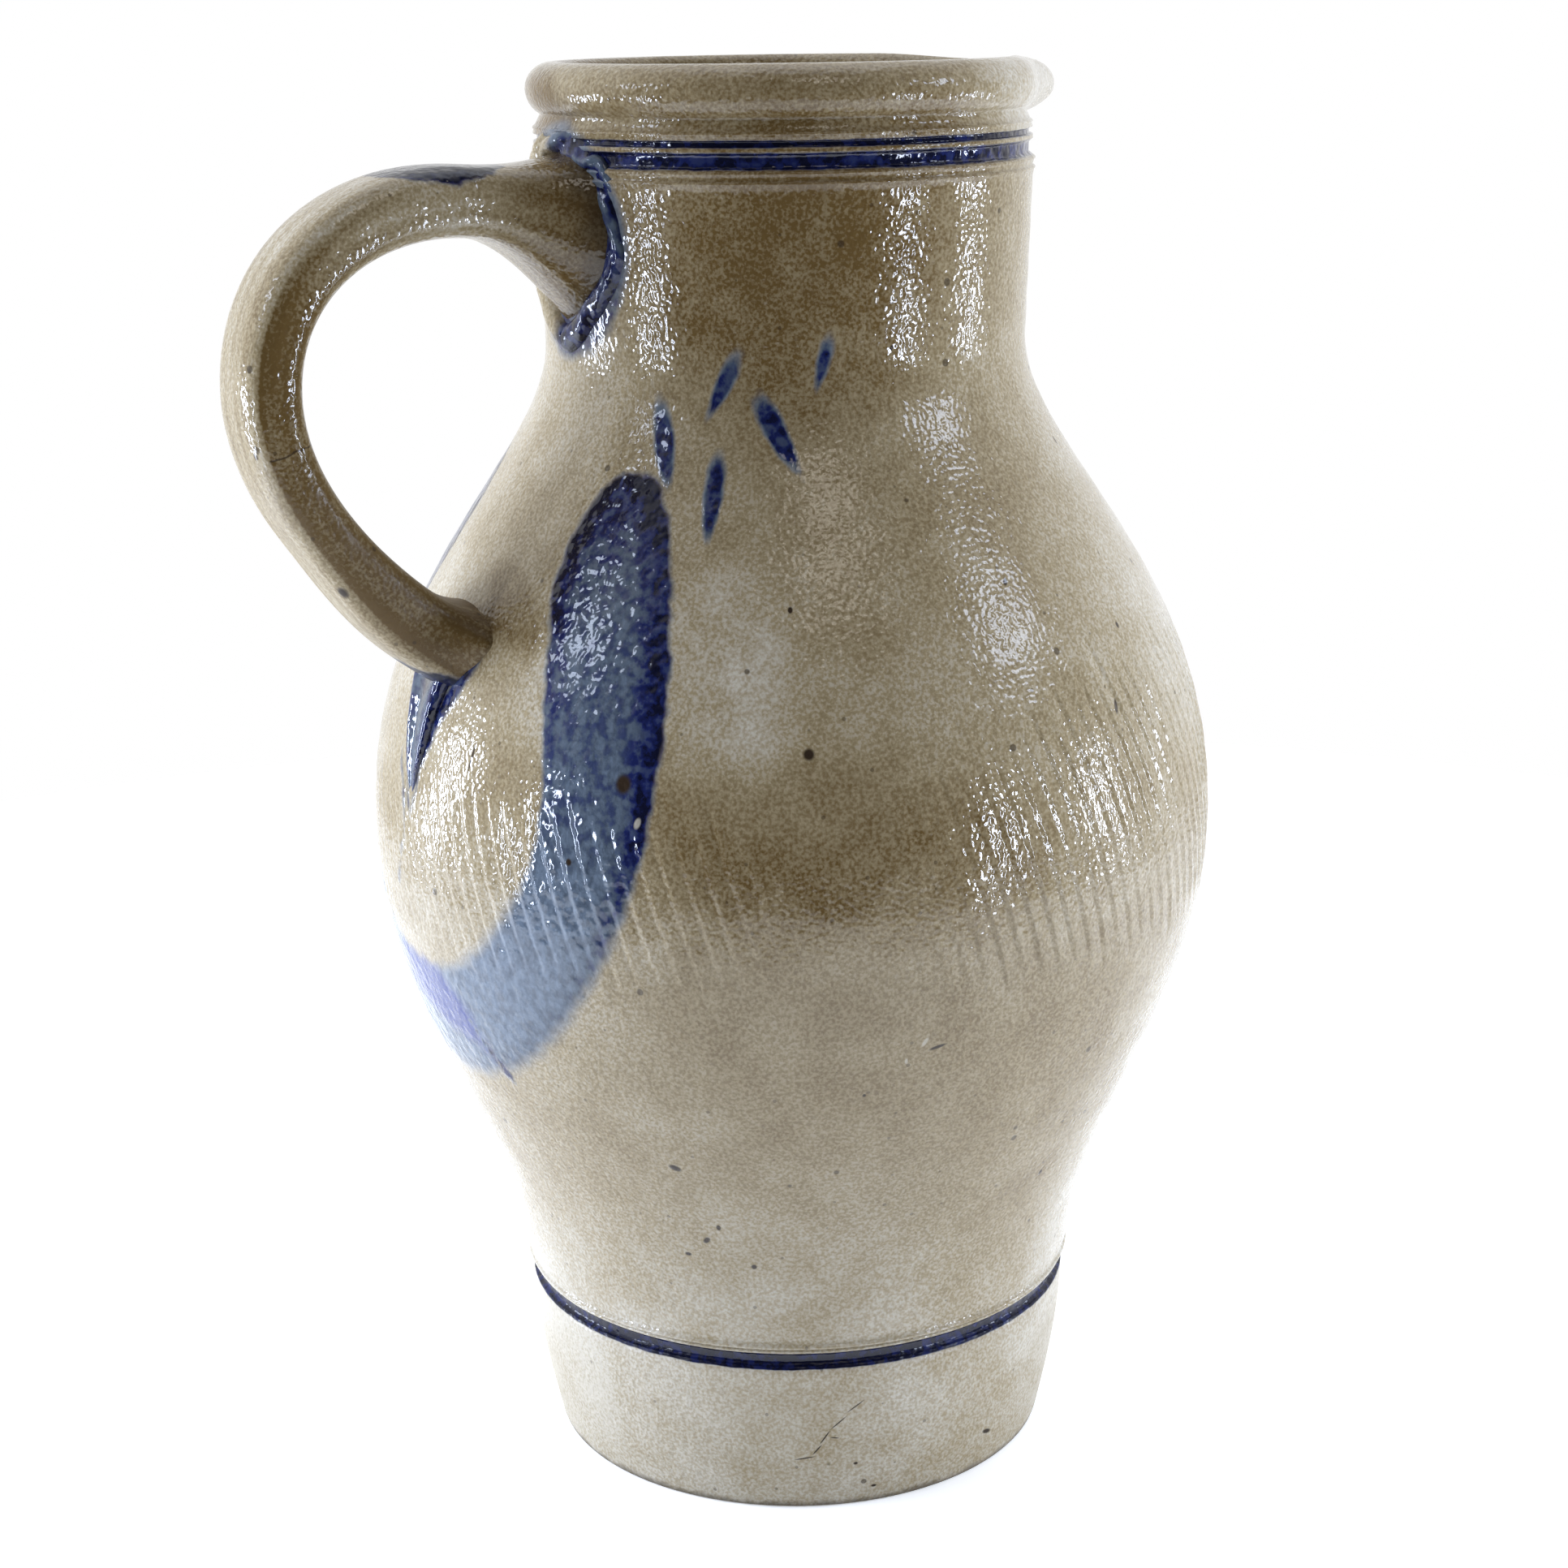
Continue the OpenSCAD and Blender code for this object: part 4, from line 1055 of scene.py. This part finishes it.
# The iron wash beside the upper root, partly the strap's own dark iron tone and partly painted shade where
# it
# meets the neck: its reach from the neck, and how much more it reaches high up
IRON_AND_SHADE_REACH, IRON_AND_SHADE_MORE = 0.6, 1.6


def whole_section(half):
    """A smooth closed section from the stations of its right half, starting at its top."""
    line = soft_line(half, STRAP_SMOOTH)
    return np.vstack([line, line[-2:0:-1] * (-1, 1)])


def strap_line(s):
    """The strap's centre line in the handle's plane: points and directions."""
    upper = np.array([pot_r(s, s.upper_z) - ROOT_SINK, s.upper_z])
    far = np.array([s.reach, s.jug_h - s.out_drop])
    lower = np.array([pot_r(s, s.lower_root_z) - ROOT_SINK, s.lower_root_z + ROOT_RISE])
    upper_half = stretch(upper, far, UPPER_HALF_PULL, STRAP_STEPS)
    lower_half = stretch(far, lower, LOWER_HALF_PULL, STRAP_STEPS)
    points = np.vstack([[upper], upper_half, lower_half])
    last = points[-1] - points[-2]
    run_on = np.arange(1, ROOT_RUN_ON + 1)[:, None] * last / np.hypot(*last)
    points = np.vstack([points, points[-1] + run_on])
    step = np.gradient(points, axis=0)
    return points, step / np.hypot(*step.T)[:, None]


def strap_points(s):
    """The strap's vertices and fields, ring by ring."""
    points, direction = strap_line(s)
    run = runs(points)
    section, flared = whole_section(STRAP_HALF), whole_section(FLARE_HALF)
    count = len(section)
    half = section[:count // 2 + 1]
    order = np.minimum(np.arange(count), count - np.arange(count)) / STRAP_SMOOTH
    side = smooth(order, RIDGE_PLACE - RIDGE_SOFT, RIDGE_PLACE + RIDGE_SOFT)
    around = runs(np.vstack([half * (s.strap_w / 2, s.strap_t / 2)]))
    around = np.concatenate([around, -around[-2:0:-1]])
    stroke_middle = pot_r(s, s.upper_z) + ROOT_FLARE_LEN / 2 + STROKE_LEN / 2
    vertices = []
    names = ("strap_run", "strap_around", "strap_side", "strap_near", "stroke", "wash")
    fields = {name: [] for name in names}
    for i, (p, d) in enumerate(zip(points, direction)):
        lower = i > STRAP_STEPS
        from_neck = ROOT_FLARE_LEN if lower else p[0] - points[0][0]
        near = max(0.0, 1 - from_neck / ROOT_FLARE_LEN)
        across = d * (1 - near) + np.array([1.0, 0.0]) * near
        across = across / np.hypot(*across)
        out = np.array([-across[1], across[0]])
        flare = near ** FLARE_POWER
        shape = section + (flared - section) * flare
        place = i / STRAP_STEPS
        swell = TOP_SWELL * (1 - flare) * (1 - smooth(place, *TOP_FADE))
        swell += ROOT_SWELL * smooth(place, *ROOT_FADE)
        w = shape[:, 0] * (s.strap_w / 2 + s.flare_w * flare)
        t = shape[:, 1] * (s.strap_t / 2 + s.flare_h * flare) + swell * np.maximum(shape[:, 1], 0)
        ring = np.column_stack([-(p[0] + out[0] * t), w, p[1] + out[1] * t])
        if lower:
            inner = -shape[:, 1]
            strength = smooth(inner, *FILLET_GROWS) * (1 - FILLET_LOSS * smooth(inner, *FILLET_WEAKENS))
            ring = fillet_ring(s, ring, (-p[0], 0, p[1]), strength)
        gap = -ring[:, 0] - pot_r(s, np.clip(ring[:, 2], 0, s.neck_bead_z))
        high = smooth(ring[:, 2], s.upper_z - 4, s.upper_z + 10)
        stroke = oval_field(around, -ring[:, 0] - stroke_middle, STROKE_W / 2, STROKE_LEN / 2)
        # Painted shade, with the strap's own iron tone, where the strap nears the neck
        wash = [FAR] * count if lower else IRON_AND_SHADE_REACH + IRON_AND_SHADE_MORE * high - gap
        vertices.append(ring)
        for name, values in zip(names, ([run[i]] * count, around, side, w < 0, stroke, wash)):
            fields[name].extend(values)
    return np.vstack(vertices), fields, len(points), count


def fillet_ring(s, ring, middle, strength):
    """Spreads a ring of the strap where it nears the belly, and keeps it out of the pot's inside."""
    gap = np.maximum(np.hypot(ring[:, 0], ring[:, 1]) - pot_r(s, ring[:, 2]), 0)
    arm = ring - middle
    reach = np.linalg.norm(arm, axis=1)
    spread = s.fillet * strength * np.maximum(1 - gap / FILLET_REACH, 0) ** FILLET_POWER
    ring = middle + arm * (1 + spread / reach)[:, None]
    r = np.hypot(ring[:, 0], ring[:, 1])
    deep = np.maximum(1, (pot_r(s, ring[:, 2]) - ROOT_DEPTH) / r)
    return ring * np.column_stack([deep, deep, np.ones(len(ring))])


# The clay that fixes the handle

# The tail: its rings and sides, and in millimetres how deep it reaches into the belly, how deep its edge
# lies, and its least half width and height. Its section is squarer than round, it thins out downwards, and
# its trough rises to its edges over these shares of its half width
TAIL_RINGS, TAIL_SIDES = 44, 32
TAIL_UNDER, TAIL_SUNK = 2, 0.3
TAIL_LEAST_W, TAIL_LEAST_H = 0.15, 0.1
TAIL_SQUARE, TAIL_THINS, TAIL_TROUGH = 0.7, 1.6, (0.2, 0.8)


def seam_path(s):
    """The closed path of the seam's middle on the neck, round the flared strap, as edges only."""
    across, up = whole_section(FLARE_HALF).T
    y = (s.seam_half_w - s.seam_w) * across
    r = s.neck_top_r + s.seam_t - s.seam_w
    points = np.column_stack([-np.sqrt(r * r - y * y), y, s.upper_z + (s.seam_half_h - s.seam_w) * up])
    count = len(points)
    mesh = bpy.data.meshes.new("thumbed_seam")
    mesh.from_pydata((points * MM).tolist(), [(i, (i + 1) % count) for i in range(count)], [])
    piece = bpy.data.objects.new("thumbed_seam", mesh)
    bpy.context.scene.collection.objects.link(piece)
    return piece


def tail_points(s):
    """The smeared tail's vertices and fields: a tongue of clay that narrows fast and thins out downwards,
    with a trough along its middle."""
    vertices, edge, run = [], [], []
    turn = np.arange(TAIL_SIDES) * math.tau / TAIL_SIDES
    sideways = np.sign(np.cos(turn)) * np.abs(np.cos(turn)) ** TAIL_SQUARE
    outwards = np.sign(np.sin(turn)) * np.abs(np.sin(turn)) ** TAIL_SQUARE
    for i in range(TAIL_RINGS):
        t = i / (TAIL_RINGS - 1)
        z = s.tail_top_z + ROOT_RISE - t * s.tail_len
        half_w = s.tail_r * ((1 - t ** 3) + (1 - t) ** 4) / 2 + TAIL_LEAST_W
        y = half_w * sideways
        share = np.abs(sideways)
        proud = s.tail_proud * (1 - t ** TAIL_THINS) * (1 + smooth(share, *TAIL_TROUGH)) / 2 + TAIL_LEAST_H
        r = pot_r(s, z) - TAIL_SUNK + np.where(np.sin(turn) > 0, proud, TAIL_UNDER) * outwards
        angle = -y / pot_r(s, z)
        vertices.append(np.column_stack([-r * np.cos(angle), -r * np.sin(angle), np.full(TAIL_SIDES, z)]))
        edge.extend(share)
        run.extend([t] * TAIL_SIDES)
    return np.vstack(vertices), {"edge": edge, "tail_run": run}


# Operators

class JUG_OT_throw_pot(bpy.types.Operator):
    """Turns the pot with its pulled spout, marks it as the tool did, and glazes and paints it"""

    bl_idname = "jug.throw_pot"
    bl_label = "Throw the pot"

    def execute(self, context):
        s = sizes()
        points, faces, heights, outside = lathe_pot(s)
        pot = new_mesh("glazed_pot", points, faces, paint_fields(s, points, heights, outside))
        apply_tree(pot, throwing_tree(), marks=float(s.mark_count), mark_depth=s.mark_depth * MM,
                   lean=s.lean_per_mm / math.tau / MM, lowest=s.mark_low * MM, highest=s.mark_high * MM,
                   quiet_turn=QUIET_ANGLE / 360, ring_pitch=s.ring_pitch * MM, ring_depth=s.ring_depth * MM,
                   wobble=s.wobble * MM, seed=POT_SEED, rim=s.jug_h * MM, glaze=salt_glazed_stoneware(s))
        settle(pot, "salt_glazed_stoneware", "thrown_pot", "foot_cobalt_band", "broad_neck_cobalt_band",
               "fine_neck_cobalt_band", "loop_brushstroke", "tail_brushstroke", "shoulder_dabs")
        return {"FINISHED"}


class JUG_OT_pull_handle(bpy.types.Operator):
    """Pulls the strap handle between its two roots, with its ridges, flares and cobalt stroke"""

    bl_idname = "jug.pull_handle"
    bl_label = "Pull the handle"

    def execute(self, context):
        s = sizes()
        points, fields, rings, sides = strap_points(s)
        strap = new_mesh("glazed_strap", points, loft_faces(rings, sides), fields)
        give_material(strap, toned_stoneware())
        settle(strap, "toned_stoneware", "strap_handle", "handle_brushstroke")
        return {"FINISHED"}


class JUG_OT_lute_handle(bpy.types.Operator):
    """Thumbs the seam round the upper root and smears the tail down from the lower one"""

    bl_idname = "jug.lute_handle"
    bl_label = "Lute the handle"

    def execute(self, context):
        s = sizes()
        seam = seam_path(s)
        apply_tree(seam, thumbing_tree(), steps=float(SEAM_STEPS), sides=float(SEAM_SIDES),
                   half_width=s.seam_w * MM, ridges=SEAM_RIDGES, twists=SEAM_TWISTS,
                   ridge_height=SEAM_RIDGE_H * MM, glaze=cobalt_washed_stoneware(s))
        settle(seam, "cobalt_washed_stoneware", "upper_root_seam")
        points, fields = tail_points(s)
        tail = new_mesh("smeared_tail", points, loft_faces(TAIL_RINGS, TAIL_SIDES), fields)
        give_material(tail, smeared_stoneware())
        settle(tail, "toned_stoneware", "lower_root_tail")
        return {"FINISHED"}


# The camera's pitch, roll, place in metres and lens, and its turn round the jug, with the handle on -X
PITCH, ROLL, TURN = math.radians(-15.77), math.radians(-0.80), math.radians(-30)
CAMERA_PLACE = Vector((-0.0013, -0.468, 0.2488))
LENS, SENSOR = 63.58, 36

# The white floor: its radius in millimetres, its sides, its colour, and the light that whitens what is
# seen of it
FLOOR_R, FLOOR_SIDES = 480, 64
FLOOR_COLOUR, FLOOR_LIFT = "#f4f4f2", 0.3

# The white sweep: its colour, its direction round the jug and its rise, its light from the camera's side
# round to behind the jug, where that changes, and how much more falls on matt surfaces
SWEEP_COLOUR = "#f4f2ef"
SWEEP_AZIMUTH, SWEEP_RISE = math.radians(74), 0.25
SWEEP_LIGHT = (0.04, 1.5)
SWEEP_TURN = (-0.35, 0.95)
SWEEP_FILL = 0.13

# Lamps: degrees round the jug, height, distance, width and height of the lamp in metres, and watts. All
# are a cool white but the front one, and those that stand higher than the aim look down at it
FRONT_COLOUR, SIDE_COLOUR = "#fff6ea", "#dce8ff"
LAMP_AIM = 0.17
LAMPS = {
    "right_strip": (-65, 0.11, 0.4, 0.02, 0.12, 0.4),
    "far_right_strip": (-28, 0.11, 0.4, 0.02, 0.12, 0.4),
    "far_left_strip": (145, 0.11, 0.4, 0.03, 0.14, 0.6),
    "left_strip": (178, 0.11, 0.4, 0.02, 0.12, 0.4),
    "right_soft_lamp": (-46, 0.45, 0.5, 0.13, 0.12, 0.5),
    "left_soft_lamp": (170, 0.46, 0.5, 0.09, 0.1, 0.32),
    "front_soft_lamp": (-100, 0.72, 0.4, 0.2, 0.15, 0.26),
    "top_lamp": (60, 1.1, 0.2, 0.7, 0.7, 1.0),
    "left_fill_lamp": (152, 0.35, 0.6, 0.4, 0.4, 4.6),
    "right_fill_lamp": (-36, 0.3, 0.6, 0.4, 0.4, 3.0),
}


def turned_camera():
    """The camera's matrix, with its pitch and roll, turned so that the handle lies on -X."""
    forward = Vector((0, math.cos(PITCH), math.sin(PITCH)))
    right = Vector((1, 0, 0))
    tilted_right = math.cos(ROLL) * right + math.sin(ROLL) * right.cross(forward)
    matrix = Matrix((tilted_right, tilted_right.cross(forward), -forward)).transposed().to_4x4()
    matrix.translation = CAMERA_PLACE
    return Matrix.Rotation(TURN, 4, "Z") @ matrix


def area_lamp(name, azimuth, height, distance, width, tall, power):
    """A lamp that stands round the jug and faces it, unseen by the eye. The gloss mirrors all lamps but
    those that fill."""
    lamp = bpy.data.lights.new(name, "AREA")
    lamp.shape = "RECTANGLE"
    lamp.size, lamp.size_y, lamp.energy = width, tall, power
    lamp.color = linear(FRONT_COLOUR if "front" in name else SIDE_COLOUR)[:3]
    holder = bpy.data.objects.new(name, lamp)
    turn = math.radians(azimuth)
    holder.location = (distance * math.cos(turn), distance * math.sin(turn), height)
    aim = Vector((0, 0, min(height, LAMP_AIM))) - holder.location
    holder.rotation_euler = aim.to_track_quat("-Z", "Y").to_euler()
    holder.visible_camera = False
    holder.visible_glossy = "fill" not in name
    bpy.context.scene.collection.objects.link(holder)


def white_paper():
    """Matt white paper that keeps the jug's shadow and meets the white behind it without a line."""
    material, tree = new_material("white_paper")
    rays = add_node(tree, "ShaderNodeLightPath")
    seen = rays["Is Camera Ray"] + rays["Is Glossy Ray"] + rays["Is Transmission Ray"]
    paper = add_node(tree, "ShaderNodeBsdfDiffuse", linear(FLOOR_COLOUR))
    lift = add_node(tree, "ShaderNodeEmission", (1, 1, 1, 1), FLOOR_LIFT)
    lifted = add_node(tree, "ShaderNodeAddShader", paper, lift)
    mixed = add_node(tree, "ShaderNodeMixShader", seen, paper, lifted)
    add_node(tree, "ShaderNodeOutputMaterial", mixed)
    return material


def white_sweep():
    """A white sweep behind the jug that darkens round to the camera's side. The eye sees it as pure white
    everywhere, and the gloss does where it mirrors what lies behind the jug."""
    world = bpy.data.worlds.new("white_sweep")
    world.use_nodes = True
    tree = world.node_tree
    tree.nodes.clear()
    direction = add_node(tree, "ShaderNodeTexCoord")["Generated"]
    ahead = (math.cos(SWEEP_AZIMUTH), math.sin(SWEEP_AZIMUTH), SWEEP_RISE)
    facing = add_node(tree, "ShaderNodeVectorMath", direction, ahead, operation="DOT_PRODUCT")["Value"]
    rays = add_node(tree, "ShaderNodeLightPath")
    glow = facing.change(*SWEEP_TURN, *SWEEP_LIGHT) + rays["Is Diffuse Ray"] * SWEEP_FILL
    sweep = add_node(tree, "ShaderNodeBackground", linear(SWEEP_COLOUR), glow)
    white = add_node(tree, "ShaderNodeBackground", (1, 1, 1, 1), 1.0)
    behind = facing.change(*SWEEP_TURN)
    seen = rays["Is Camera Ray"] + (rays["Is Glossy Ray"] + rays["Is Transmission Ray"]) * behind
    mixed = add_node(tree, "ShaderNodeMixShader", seen, sweep, white)
    add_node(tree, "ShaderNodeOutputWorld", mixed)
    return world


class JUG_OT_set_stage(bpy.types.Operator):
    """Lays the white floor, sets the lamps and places the camera"""

    bl_idname = "jug.set_stage"
    bl_label = "Set the stage"

    def execute(self, context):
        scene = context.scene
        angle = np.arange(FLOOR_SIDES) * math.tau / FLOOR_SIDES
        rim = np.column_stack([np.cos(angle), np.sin(angle), np.zeros(FLOOR_SIDES)]) * FLOOR_R
        floor = new_mesh("white_floor", rim, [tuple(range(FLOOR_SIDES))])
        give_material(floor, white_paper())
        scene.world = white_sweep()
        for name, lamp in LAMPS.items():
            area_lamp(name, *lamp)
        lens = bpy.data.cameras.new("photo_camera")
        lens.lens, lens.sensor_width = LENS, SENSOR
        camera = bpy.data.objects.new("photo_camera", lens)
        camera.matrix_world = turned_camera()
        scene.collection.objects.link(camera)
        scene.camera = camera
        scene.view_settings.view_transform = "Standard"
        return {"FINISHED"}


GROUPS = {"jug_form": JugForm, "jug_handle": JugHandle, "jug_marks": JugMarks, "jug_colours": JugColours}
STEPS = (JUG_OT_throw_pot, JUG_OT_pull_handle, JUG_OT_lute_handle, JUG_OT_set_stage)


class JUG_PT_panel(bpy.types.Panel):
    """Lists the jug's steps in the order in which they are made, and its sizes and colours"""

    bl_idname = "JUG_PT_panel"
    bl_label = "Salt-glazed jug"
    bl_space_type = "VIEW_3D"
    bl_region_type = "UI"
    bl_category = "Jug"

    def draw(self, context):
        for step in STEPS:
            self.layout.operator(step.bl_idname)
        for name in GROUPS:
            group = getattr(context.scene, name)
            box = self.layout.box()
            for value in group.__annotations__:
                box.prop(group, value)


def register():
    """Registers the settings, the steps and the panel"""
    for kind in (*GROUPS.values(), *STEPS, JUG_PT_panel):
        bpy.utils.register_class(kind)
    for name, kind in GROUPS.items():
        setattr(bpy.types.Scene, name, PointerProperty(type=kind))


def unregister():
    """Takes them away again"""
    for name in GROUPS:
        delattr(bpy.types.Scene, name)
    for kind in (JUG_PT_panel, *STEPS, *GROUPS.values()):
        bpy.utils.unregister_class(kind)


def main():
    """Makes the jug step by step"""
    register()
    bpy.ops.jug.throw_pot()
    bpy.ops.jug.pull_handle()
    bpy.ops.jug.lute_handle()
    bpy.ops.jug.set_stage()


if __name__ == "__main__":
    main()
